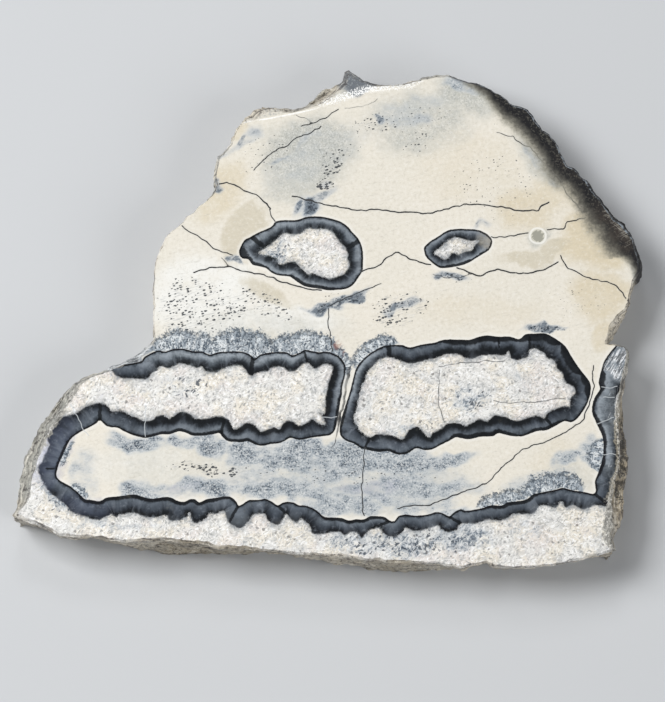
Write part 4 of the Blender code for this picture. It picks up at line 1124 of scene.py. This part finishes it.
def dentine(tree, look, place, marks):
    """Dentine is the fine-grained cream body of the tooth. Its stains are minerals from the ground."""
    drift = add(tree, "TexNoise", {"Vector": place, "Scale": 1 / 14, "Detail": 3.0, "Distortion": 0.8})
    mottle = add(tree, "TexNoise", {"Vector": place, "Scale": 1 / 0.6, "Detail": 4.0, "Roughness": 0.75})
    sloping = drawn_out(tree, place, 14, 2.2, 0.45)
    grain = add(tree, "TexNoise", {"Vector": sloping, "Scale": 1.0, "Detail": 5.0, "Roughness": 0.7})
    swirl = add(tree, "TexNoise", {"Vector": place, "Scale": 1 / 1.1, "Detail": 3.0}).outputs["Color"]
    thread = add(tree, "VectorMath", {0: swirl, 1: (0.7,) * 3, 2: marks["root"]}, operation="MULTIPLY_ADD")
    top = wavered(tree, marks["fringe_share"], marks["root"], 1.6, 0.22)
    top = wavered(tree, top, place, 0.45, 0.3)
    arch = add(tree, "Math", {0: marks["fringe"], 1: -0.8, 2: top}, operation="MULTIPLY_ADD")
    present = add(tree, "MapRange", {"Value": marks["fringe"], "From Max": 0.4})
    body = add(tree, "MapRange", {"Value": arch, "From Min": 0.3, "From Max": -0.25})
    body = add(tree, "Math", {0: body, 1: present}, operation="MULTIPLY")
    brow = add(tree, "Math", {0: arch, 1: 0.0, 2: 0.12}, operation="COMPARE")
    brow = add(tree, "Math", {0: brow, 1: present}, operation="MULTIPLY")
    veil = mottled(tree, body, thread, 1.5, 3.5)
    curl = add(tree, "VectorMath", {0: swirl, 1: (1.6,) * 3, 2: place}, operation="MULTIPLY_ADD")
    haze = mottled(tree, marks["haze"], drawn_out(tree, place, 4, 1.5, 0.8), 2.4, 2.7)
    dust = mottled(tree, haze, drawn_out(tree, place, 4, 1.4, 0.9), 1.3, 4.5)
    spot = add(tree, "VectorMath", {0: place, 1: (*SPOT, FACE_LEVEL)}, operation="DISTANCE").outputs["Value"]
    spot = wavered(tree, spot, place, 1.2, 0.15)
    lens = add(tree, "Math", {0: marks["lens"], 1: -14.0, 2: 14.0}, operation="MULTIPLY_ADD")
    lens = add(tree, "Math", {0: lens, 1: marks["cream"]}, operation="MINIMUM")
    feather = mottled(tree, marks["smear"], drawn_out(tree, curl, 30, 1.5, 0.6), 1.0, 4.0)
    flecks = flecked(tree, marks["flecks"], drawn_out(tree, place, 12, 1.7, 1.0), 0.3)
    dash_place = drawn_out(tree, place, 17, 1.5, 0.22)
    dashes = add(tree, "TexNoise", {"Vector": dash_place, "Scale": 1.0, "Detail": 2.0})
    few = add(tree, "Math", {0: marks["flecks"], 1: 1.0}, operation="MINIMUM")
    dashes = add(tree, "Math", {0: dashes, 1: few}, operation="MULTIPLY")
    hatch_place = drawn_out(tree, place, 40, 1.5, 0.25)
    hatch = add(tree, "TexNoise", {"Vector": hatch_place, "Scale": 1.0, "Detail": 1.0})
    hatch = add(tree, "Math", {0: hatch, 1: spot}, operation="SUBTRACT")
    splinters = mottled(tree, marks["shard"], drawn_out(tree, place, 18, 2.2, 0.35), 1.0, 4.5)
    clefts = mottled(tree, marks["shard"], drawn_out(tree, place, 22, 1.6, 0.3), 0.7, 5.0)
    return painted(tree, (*look.dentine, 1.0), [
        (drift, 0.4, 0.62, 0.5, "#e4dfd2"),
        (mottled(tree, marks["warm"], place, 9.0, 2.2), 0.0, 1.3, 0.9, "#d9ccb0"),
        (mottled(tree, marks["bleached"], place, 4.0, 2.5), 0.0, 1.0, 0.8, "#f3f3ef"),
        (mottled(tree, marks["grey"], place, 6.0, 3.0), 0.0, 1.3, 0.9, "#c9c9c1"),
        (mottled(tree, marks["grey"], place, 1.3, 4.0), 0.3, 1.6, 0.5, "#aeb1ad"),
        (mottled(tree, lens, place, 3.0, 2.4), 0.0, 1.0, 0.7, "#cdc4ae"),
        (mottle, 0.5, 0.68, 0.3, "#faf8f2"),
        (mottle, 0.5, 0.32, 0.3, "#bdb8aa"),
        (grain, 0.55, 0.72, 0.4, "#b9b5aa"),
        (mottled(tree, marks["grey"], place, 0.35, 6.0), 0.9, 1.8, 0.4, "#f3f1ea"),
        (mottled(tree, marks["grey"], place, 0.28, 6.0), 0.8, 1.7, 0.35, "#83867f"),
        (marks["outer_gap"], -0.7, -0.15, 0.5, "#f2f0ea"),
        (marks["shard"], 0.0, 0.6, 0.95, "#8b9299"),
        (splinters, 0.4, 1.2, 0.9, "#e8ebec"),
        (clefts, 0.7, 1.5, 0.85, "#30353b"),
        (haze, 0.05, 1.0, 0.8, "#c3c9cd"),
        (mottled(tree, marks["lilac"], place, 2.0, 3.5), 0.2, 1.3, 0.5, "#a3a5b8"),
        (dust, 0.3, 1.7, 0.8, "#8b96a0"),
        (mottled(tree, haze, place, 0.35, 6.0), 0.9, 1.8, 0.5, "#f1f1ed"),
        (mottled(tree, haze, place, 0.28, 6.0), 0.8, 1.7, 0.6, "#6d7883"),
        (mottled(tree, dust, place, 0.28, 6.0), 1.2, 2.6, 0.85, "#414b56"),
        (veil, 0.05, 0.7, 0.9, "#99a4ae"),
        (mottled(tree, body, thread, 0.5, 10.0, 2.0), 0.9, 1.7, 0.8, "#4f5b67"),
        (mottled(tree, body, thread, 0.65, 10.0, 2.0), 1.15, 1.8, 0.9, "#dde2e4"),
        (mottled(tree, body, place, 0.32, 9.0, 2.0), 1.25, 1.9, 0.85, "#2f3842"),
        (mottled(tree, body, curl, 0.4, 9.0, 2.0), 1.4, 1.9, 0.7, "#e6e9e9"),
        (mottled(tree, brow, place, 0.5, 6.0), 0.5, 1.3, 0.8, "#39434d"),
        (marks["smear"], 0.0, 0.9, 0.6, "#b2bac2"),
        (feather, 0.4, 1.3, 0.85, "#66727e"),
        (mottled(tree, feather, curl, 0.8, 4.0), 1.0, 2.4, 0.9, "#262e38"),
        (dashes, 0.5, 0.72, 0.45, "#9b9fa2"),
        (flecks, -0.03, 0.05, 0.9, "#2d333b"),
        (mottled(tree, marks["rust"], place, 0.7, 5.0), 0.3, 1.5, 0.6, "#8f5344"),
        (spot, 1.55, 1.35, 0.75, "#f7f5ee"),
        (spot, 1.2, 1.05, 0.7, "#c4c0ae"),
        (hatch, -0.55, -0.35, 0.7, "#86867b"),
    ])


def enamel(tree, place, marks):
    """Enamel is dense and glassy. Mineral water has stained it from the cement side inwards."""
    root = marks["root"]
    streak = add(tree, "TexNoise", {"Vector": root, "Scale": 1 / 0.8, "Detail": 3.0, "Roughness": 0.55})
    cloud = add(tree, "TexNoise", {"Vector": place, "Scale": 1 / 1.1, "Detail": 7.0, "Roughness": 0.75})
    across = wavered(tree, marks["across"], place, 0.9, 0.12)
    across = wavered(tree, across, place, 2.2, 0.16)
    across = wavered(tree, across, root, 0.35, 0.1)
    dull = add(tree, "ValToRGB", {"Fac": across}, [
        (0.0, "#20242a"), (0.09, "#3c434b"), (0.28, "#5c646d"), (0.5, "#4a515a"), (0.68, "#343a42"),
        (0.82, "#191c20"), (0.92, "#101215"), (1.0, "#33373a"),
    ])
    bright = add(tree, "ValToRGB", {"Fac": across}, [
        (0.0, "#434a51"), (0.1, "#757d85"), (0.26, "#9ca4ab"), (0.42, "#7c848b"), (0.55, "#4c535a"),
        (0.7, "#23272b"), (0.88, "#101316"), (1.0, "#383d3c"),
    ])
    teeth = wavered(tree, marks["outer_gap"], root, 0.45, 0.14)
    ratio = add(tree, "Math", {0: teeth, 1: marks["ink"]}, operation="DIVIDE")
    ratio = wavered(tree, ratio, place, 0.6, 0.22)
    inky = add(tree, "Math", {0: across, 1: marks["inky"]}, operation="MULTIPLY")
    bands = add(tree, "TexNoise", {"Vector": root, "Scale": 1 / 2.6, "Detail": 3.0, "Roughness": 0.6})
    silvery = wavered(tree, marks["silvery"], place, 4.0, 0.25)
    lengthwise = add(tree, "Mapping", {"Vector": marks["rim_line"], "Scale": (1 / 3.0, 1 / 3.0, 1.0)})
    flow = add(tree, "TexNoise", {"Vector": lengthwise, "Scale": 1.0, "Detail": 4.0, "Roughness": 0.6})
    flow = add(tree, "Math", {0: flow, 1: marks["silvery"]}, operation="MULTIPLY")
    frost = mottled(tree, marks["frost"], place, 1.4, 3.5)
    splinters = mottled(tree, frost, drawn_out(tree, place, 62, 2.4, 0.3), 1.0, 5.0)
    clefts = mottled(tree, frost, drawn_out(tree, place, 55, 1.6, 0.35), 1.0, 6.0)
    return painted(tree, dull, [
        (silvery, 0.0, 1.0, 1.0, bright),
        (marks["lilac"], 0.0, 1.0, 0.45, "#50576b"),
        (bands, 0.52, 0.7, 0.3, "#8f97a0"),
        (bands, 0.48, 0.32, 0.5, "#15181c"),
        (streak, 0.54, 0.76, 0.14, "#a2a9b4"),
        (streak, 0.48, 0.28, 0.3, "#1f2429"),
        (cloud, 0.52, 0.72, 0.4, "#99a1ab"),
        (cloud, 0.48, 0.3, 0.45, "#1b1f25"),
        (inky, 0.4, 0.72, 0.9, "#111417"),
        (frost, 0.0, 1.0, 0.6, "#8d959c"),
        (splinters, 0.7, 1.6, 0.9, "#f1f3f5"),
        (clefts, 0.8, 1.7, 0.8, "#32383d"),
        (flow, 0.62, 0.85, 0.3, "#c2c9d0"),
        (wavered(tree, marks["joint"], place, 0.5, 0.5), 1.1, 0.6, 0.9, "#0e1114"),
        (mottled(tree, marks["pearl"], place, 1.2, 2.4), 0.1, 1.3, 0.8, "#a9a59b"),
        (ratio, 1.4, 0.9, 0.9, "#08090c"),
    ])


def cement(tree, look, place, marks):
    """Cement is the chalky, open-grained filling between the plates. It polishes with small pits in it."""
    swirl = add(tree, "TexNoise", {"Vector": place, "Scale": 1 / 1.6, "Detail": 3.0}).outputs["Color"]
    curl = add(tree, "VectorMath", {0: swirl, 1: (2.2,) * 3, 2: place}, operation="MULTIPLY_ADD")
    crumbs = drawn_out(tree, curl, 35, 0.5, 0.3)
    fine = add(tree, "TexNoise", {"Vector": crumbs, "Scale": 1.0, "Detail": 3.0, "Roughness": 0.6})
    grain = add(tree, "TexNoise", {"Vector": place, "Scale": 1 / 0.9, "Detail": 5.0, "Roughness": 0.8})
    coarse = add(tree, "TexNoise", {"Vector": place, "Scale": 1 / 2.2, "Detail": 6.0, "Roughness": 0.7})
    blotch = add(tree, "TexNoise", {"Vector": place, "Scale": 1 / 4.2, "Detail": 5.0})
    blush = add(tree, "TexNoise", {"Vector": place, "Scale": 1 / 5.2, "Detail": 4.0})
    edge = add(tree, "MapRange", {"Value": marks["inner_gap"], "From Min": 1.3, "From Max": 0.0})
    strokes = drawn_out(tree, curl, 42, 1.4, 0.8)
    haze = mottled(tree, marks["haze"], strokes, 1.5, 4.5)
    dust = mottled(tree, haze, strokes, 0.5, 6.0)
    return painted(tree, (*look.cement, 1.0), [
        (blotch, 0.46, 0.58, 0.7, "#e8decb"),
        (blush, 0.52, 0.64, 0.5, "#e0d5cf"),
        (coarse, 0.5, 0.36, 0.6, "#b7b8b7"),
        (coarse, 0.52, 0.64, 0.5, "#f6f5f1"),
        (grain, 0.52, 0.66, 0.6, "#fbfaf6"),
        (grain, 0.48, 0.32, 0.8, "#9b9d9f"),
        (fine, 0.53, 0.66, 0.8, "#ffffff"),
        (fine, 0.47, 0.32, 0.85, "#8f908f"),
        (mottled(tree, edge, place, 0.8, 4.5), 0.2, 1.5, 0.8, "#7b8187"),
        (mottled(tree, marks["lilac"], place, 1.8, 5.0), 0.2, 1.4, 0.6, "#b6b9cc"),
        (haze, 0.1, 1.3, 0.5, "#c9cfd4"),
        (dust, 0.6, 1.9, 0.85, "#75828f"),
        (mottled(tree, dust, place, 0.28, 6.0), 1.3, 2.6, 0.85, "#3e4854"),
        (flecked(tree, 0.55, place, 1.0), -0.03, 0.05, 0.7, "#5d5b57"),
        (flecked(tree, marks["flecks"], strokes, 0.55), -0.03, 0.05, 0.9, "#35404c"),
    ])


def tissues(tree, look, place, marks):
    """The colours of the three tissues where each of them lies, with the cracks through all of them."""
    outer = wavered(tree, marks["outer_gap"], place, 0.6, 0.06)
    inner = wavered(tree, marks["inner_gap"], place, 0.8, 0.25)
    inner = wavered(tree, inner, place, 0.3, 0.12)
    in_enamel = add(tree, "MapRange", {"Value": outer, "From Min": -0.08, "From Max": 0.02})
    in_cement = add(tree, "MapRange", {"Value": inner, "From Min": -0.16, "From Max": 0.12})
    thin = wavered(tree, marks["crack"], place, 1.3, 0.25)
    line = add(tree, "MapRange", {"Value": thin, "From Min": 0.85, "From Max": 0.45})
    line = add(tree, "Math", {0: line, 1: marks["crack_dark"]}, operation="MULTIPLY")
    crack = mottled(tree, line, place, 2.2, 2.4)
    dark = wavered(tree, marks["dark"], place, 2.4, 0.14)
    dark = wavered(tree, dark, place, 0.5, 0.1)
    falling, rising = (
        add(tree, "TexNoise", {"Vector": along_scratch, "Scale": 1.0, "Detail": 1.0})
        for along_scratch in (drawn_out(tree, place, turn, 2.6, 0.11) for turn in (-38, 28))
    )
    scratch = add(tree, "Math", {0: falling, 1: rising}, operation="MAXIMUM")
    lilac = add(tree, "Math", {0: in_cement, 1: marks["lilac"]}, operation="MULTIPLY")
    slate = add(tree, "Math", {0: marks["ground"], 1: marks["slate"]}, operation="MULTIPLY")
    flaky = wavered(tree, marks["flaky"], place, 2.2, 0.28)
    flaky = wavered(tree, flaky, place, 0.6, 0.16)
    crumbling = add(tree, "MapRange", {"Value": flaky, "From Min": 0.12, "From Max": 0.3})
    crumbling_umber = add(tree, "Math", {0: crumbling, 1: marks["umber"]}, operation="MULTIPLY")
    along = add(tree, "Mapping", {"Vector": marks["rim_line"], "Scale": (1 / 4, 1 / 4, 1 / 4)})
    colour = painted(tree, dentine(tree, look, place, marks), [
        (in_enamel, 0.0, 1.0, 1.0, enamel(tree, place, marks)),
        (in_cement, 0.0, 1.0, 1.0, cement(tree, look, place, marks)),
        (marks["crack"], 3.5, 0.5, 0.12, "#b3b8ba"),
        (crack, 0.0, 0.7, 1.0, "#0e1013"),
        (marks["pale_crack"], 0.1, 0.03, 0.75, "#c8cdd0"),
        (mottled(tree, marks["ground"], place, 1.5, 4.0), 0.0, 1.0, 0.7, "#d3cec1"),
        (mottled(tree, marks["slate"], place, 1.2, 3.0), 0.0, 1.0, 0.85, "#727a83"),
        (mottled(tree, slate, place, 0.4, 5.0), 0.5, 1.6, 0.8, "#3f464e"),
        (mottled(tree, marks["ground"], place, 0.4, 6.0), 0.8, 1.8, 0.5, "#7d838b"),
        # Painted highlights: a white line along the arris of the ground strip and white glitter just beyond
        # it, for light caught by the strip
        (wavered(tree, marks["painted_glint"], place, 0.5, 0.12), 0.15, 0.03, 0.8, "#fdfdfb"),
        (mottled(tree, marks["painted_sparkle"], place, 0.25, 8.0, 2.0), 0.75, 1.15, 0.95, "#fdfdfb"),
        (crumbling, 0.0, 1.0, 0.9, "#aeaba2"),
        (crumbling_umber, 0.0, 1.0, 0.75, "#a0967f"),
        (mottled(tree, crumbling, along, 0.5, 4.0), 0.4, 1.4, 0.8, "#7c7b76"),
        (mottled(tree, crumbling, along, 0.22, 6.0), 0.8, 1.7, 0.85, "#3a3a38"),
        (mottled(tree, crumbling, place, 0.5, 6.0), 1.0, 1.9, 0.8, "#f0ede6"),
        (mottled(tree, crumbling_umber, place, 0.6, 6.0), 0.9, 1.6, 0.85, "#1f1e1c"),
        (mottled(tree, lilac, place, 1.1, 6.0), 1.2, 1.9, 0.6, "#c6c8da"),
        (wavered(tree, dark, place, 7.0, 0.15), -0.1, 0.38, 0.75, "#a39f8f"),
        (dark, 0.05, 0.48, 0.9, "#69675f"),
        (dark, 0.24, 0.68, 0.97, "#1b1b1e"),
    ])
    brown = add(tree, "Math", {0: marks["scratched"], 1: dark}, operation="MULTIPLY")
    marked = add(tree, "Math", {0: scratch, 1: brown}, operation="MULTIPLY")
    colour = painted(tree, colour, [
        (mottled(tree, brown, place, 1.4, 3.5), 0.15, 1.0, 0.5, "#4c443d"),
        (marked, 0.42, 0.55, 0.55, "#b9b3a8"),
        (mottled(tree, dark, place, 0.35, 8.0, 2.0), 0.9, 1.6, 0.25, "#8f8c80"),
    ])
    return colour, in_cement, crack


def polished_material(look):
    """Fossil molar ground flat and polished, so the face is glossy and only its pits and cracks are dull."""
    material, tree, shader, place = new_material("polished fossil molar")
    marks = read_marks(tree)
    colour, in_cement, crack = tissues(tree, look, place, marks)
    tree.links.new(colour.outputs[2], shader.inputs["Base Color"])
    chalk = add(tree, "Math", {0: in_cement, 1: 0.14, 2: 0.16}, operation="MULTIPLY_ADD")
    rough = add(tree, "Math", {0: crack, 1: 0.4, 2: chalk}, operation="MULTIPLY_ADD")
    rough = add(tree, "Math", {0: marks["ground"], 1: 0.45, 2: rough}, operation="MULTIPLY_ADD")
    tree.links.new(rough.outputs[0], shader.inputs["Roughness"])
    pits = add(tree, "TexNoise", {"Vector": place, "Scale": 1 / 0.55, "Detail": 4.0, "Roughness": 0.65})
    height = add(tree, "Math", {0: pits, 1: in_cement}, operation="MULTIPLY")
    bump = add(tree, "Bump", {"Strength": 0.6, "Distance": 0.2 * MM, "Height": height})
    tree.links.new(bump.outputs[0], shader.inputs["Normal"])
    shader.inputs["IOR"].default_value = 1.55
    return material


def broken_material(look):
    """The tooth's own outside, broken and weathered: rough, chalky and stained grey-brown in patches, with a
    painted highlight along the top of its dark-stained edge.
    """
    material, tree, shader, place = new_material("broken fossil molar")
    marks = read_marks(tree)
    colour, _, _ = tissues(tree, look, place, marks)
    coarse = add(tree, "TexNoise", {"Vector": place, "Scale": 1 / 3.0, "Detail": 6.0, "Roughness": 0.65})
    layer = add(tree, "Mapping", {"Vector": marks["rim"], "Scale": (1 / 4.5, 1 / 0.45, 1.0)})
    layers = add(tree, "TexNoise", {"Vector": layer, "Scale": 1.0, "Detail": 4.0, "Roughness": 0.6})
    fine = add(tree, "TexNoise", {"Vector": place, "Scale": 1 / 0.6, "Detail": 4.0, "Roughness": 0.7})
    down = add(tree, "SeparateXYZ", {"Vector": marks["rim"]}).outputs["Y"]
    deep = wavered(tree, down, place, 1.5, 0.4)
    # Painted highlight: light caught on the chipped top of the wall where the dark stain reaches it
    edge = add(tree, "MapRange", {"Value": deep, "From Min": 1.1, "From Max": 0.2})
    edge = add(tree, "Math", {0: edge, 1: marks["dark"]}, operation="MULTIPLY")
    splinters = mottled(tree, marks["shard"], drawn_out(tree, place, 20, 2.2, 0.35), 1.0, 4.5)
    clefts = mottled(tree, marks["shard"], drawn_out(tree, place, 22, 1.6, 0.3), 0.7, 5.0)
    broken = painted(tree, colour, [
        (deep, 0.3, 1.6, 0.75, "#c9bfab"),
        (coarse, 0.42, 0.62, 0.6, "#a69b89"),
        (marks["ash"], 0.0, 0.8, 0.8, "#989993"),
        (marks["umber"], 0.0, 0.8, 0.75, "#9d917a"),
        (marks["slate"], 0.0, 0.8, 0.8, "#5b626a"),
        (layers, 0.5, 0.38, 0.8, "#5d5854"),
        (layers, 0.54, 0.66, 0.7, "#e8e2d5"),
        (fine, 0.47, 0.36, 0.8, "#3a3634"),
        (fine, 0.55, 0.68, 0.55, "#f1ece0"),
        (mottled(tree, marks["umber"], place, 0.9, 7.0), 0.9, 1.5, 0.85, "#211f1d"),
        (splinters, 0.3, 1.1, 0.9, "#e4e8ea"),
        (clefts, 0.8, 1.5, 0.85, "#30353b"),
        (wavered(tree, marks["dark"], place, 3.0, 0.2), 0.05, 0.45, 0.98, "#0f0f11"),
        # Painted highlight along that chipped top edge, in pale blue-grey
        (mottled(tree, edge, place, 1.2, 5.0), 0.6, 1.3, 0.8, "#aeb8c1"),
    ])
    tree.links.new(broken.outputs[2], shader.inputs["Base Color"])
    bump = add(tree, "Bump", {"Strength": 0.6, "Distance": 0.25 * MM, "Height": fine})
    tree.links.new(bump.outputs[0], shader.inputs["Normal"])
    shader.inputs["Roughness"].default_value = 0.45
    return material


def sawn_material(look):
    """The back as the saw left it: the same tissues, matt and dusty, with the blade's fine marks on them."""
    material, tree, shader, place = new_material("sawn fossil molar")
    marks = read_marks(tree)
    colour, _, _ = tissues(tree, look, place, marks)
    saw = add(tree, "TexWave", {"Vector": place, "Scale": 0.6, "Distortion": 1.2, "Detail": 2.0})
    dust = add(tree, "Math", {0: saw, 1: 0.2, 2: 0.25}, operation="MULTIPLY_ADD")
    dusty = painted(tree, colour, [(dust, 0.0, 1.0, 1.0, (*look.saw_dust, 1.0))])
    tree.links.new(dusty.outputs[2], shader.inputs["Base Color"])
    bump = add(tree, "Bump", {"Strength": 0.3, "Distance": 0.05 * MM, "Height": saw})
    tree.links.new(bump.outputs[0], shader.inputs["Normal"])
    shader.inputs["Roughness"].default_value = 0.6
    return material


class ToothLook(PropertyGroup):
    """Sizes and colours of the slice that a user would change."""

    edge_chips: FloatProperty(
        name="Edge chips",
        description="How far small chips bite into the edge of the polished face",
        default=0.00025,
        unit="LENGTH",
    )
    rim_relief: FloatProperty(
        name="Rim relief",
        description="How high the lumps of the broken rim stand",
        default=0.0005,
        unit="LENGTH",
    )
    crack_depth: FloatProperty(
        name="Crack depth",
        description="How deep the darkest cracks are sunk into the polished face",
        default=0.00004,
        unit="LENGTH",
    )
    dentine: FloatVectorProperty(
        name="Dentine",
        description="Cream of the fossil dentine",
        default=linear("#e9e3d6"),
        subtype="COLOR",
    )
    cement: FloatVectorProperty(
        name="Cement",
        description="Chalky white of the cement between the plates",
        default=linear("#e1dfda"),
        subtype="COLOR",
    )
    saw_dust: FloatVectorProperty(
        name="Saw dust",
        description="Pale dust in the saw marks of the back",
        default=linear("#cfcabd"),
        subtype="COLOR",
    )


class StudioLook(PropertyGroup):
    """The studio's colours and the power of its light."""

    floor: FloatVectorProperty(
        name="Floor",
        description="Pale grey of the floor",
        default=linear("#c9cbcd"),
        subtype="COLOR",
    )
    sky: FloatVectorProperty(
        name="Sky",
        description="Colour of the light from all round",
        default=linear("#e6e9ee"),
        subtype="COLOR",
    )
    key_power: FloatProperty(
        name="Key light",
        description="Power of the key light, which the other lamps follow",
        default=8.0,
        unit="POWER",
    )


class TOOTH_OT_slice(Operator):
    """Build the polished slice with its bands, cracks, broken rim and sawn back"""

    bl_idname = "tooth.slice"
    bl_label = "Tooth slice"

    def execute(self, context):
        look = context.scene.tooth_look
        piece, rows = slab(look)
        mark(piece, rows, look)
        piece.name = "polished_slice"
        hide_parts(NODE)
        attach(piece, "root")
        return {"FINISHED"}


class TOOTH_OT_stage(Operator):
    """Set up the floor, the soft studio light and the camera"""

    bl_idname = "tooth.stage"
    bl_label = "Studio"

    def execute(self, context):
        look = context.scene.studio_look
        deselect()
        bpy.ops.mesh.primitive_plane_add(size=FLOOR_SIDE)
        floor = context.object
        floor.name = "studio_floor"
        paint = bpy.data.materials.new("painted board")
        paint.use_nodes = True
        shader = paint.node_tree.nodes["Principled BSDF"]
        shader.inputs["Base Color"].default_value = (*look.floor, 1.0)
        shader.inputs["Roughness"].default_value = 0.7
        floor.data.materials.append(paint)
        context.scene.view_settings.view_transform = "Standard"
        world = bpy.data.worlds.new("studio")
        world.use_nodes = True
        sky = world.node_tree.nodes["Background"]
        sky.inputs["Color"].default_value = (*look.sky, 1.0)
        sky.inputs["Strength"].default_value = WORLD_STRENGTH
        context.scene.world = world
        for name, spot, size, share in LAMPS:
            light = bpy.data.lights.new(name, "AREA")
            light.energy = share * look.key_power
            light.size = size
            lamp = bpy.data.objects.new(name, light)
            lamp.location = spot
            lamp.rotation_euler = Vector(spot).to_track_quat("Z", "Y").to_euler()
            context.scene.collection.objects.link(lamp)
        camera_data = bpy.data.cameras.new("camera")
        camera_data.lens = LENS
        camera_data.sensor_width = SENSOR_WIDTH
        camera_data.sensor_fit = "HORIZONTAL"
        camera = bpy.data.objects.new("camera", camera_data)
        way = Vector(CAMERA_WAY)
        camera.location = (Vector(CAMERA_AIM) + way * VIEW_WIDTH * LENS / SENSOR_WIDTH) * MM
        camera.rotation_euler = way.to_track_quat("Z", "Y").to_euler()
        context.scene.collection.objects.link(camera)
        context.scene.camera = camera
        return {"FINISHED"}


class TOOTH_PT_panel(Panel):
    """Lists the slice and the studio with their values"""

    bl_label = "Mammoth tooth slice"
    bl_space_type = "VIEW_3D"
    bl_region_type = "UI"
    bl_category = "Tooth"

    def draw(self, context):
        scene = context.scene
        for look, operator in ((scene.tooth_look, TOOTH_OT_slice), (scene.studio_look, TOOTH_OT_stage)):
            for name in type(look).__annotations__:
                self.layout.prop(look, name)
            self.layout.operator(operator.bl_idname)


CLASSES = (ToothLook, StudioLook, TOOTH_OT_slice, TOOTH_OT_stage, TOOTH_PT_panel)


def register():
    for cls in CLASSES:
        bpy.utils.register_class(cls)
    bpy.types.Scene.tooth_look = PointerProperty(type=ToothLook)
    bpy.types.Scene.studio_look = PointerProperty(type=StudioLook)


def unregister():
    del bpy.types.Scene.studio_look
    del bpy.types.Scene.tooth_look
    for cls in reversed(CLASSES):
        bpy.utils.unregister_class(cls)


def main():
    register()
    bpy.ops.tooth.slice()
    bpy.ops.tooth.stage()


if __name__ == "__main__":
    main()
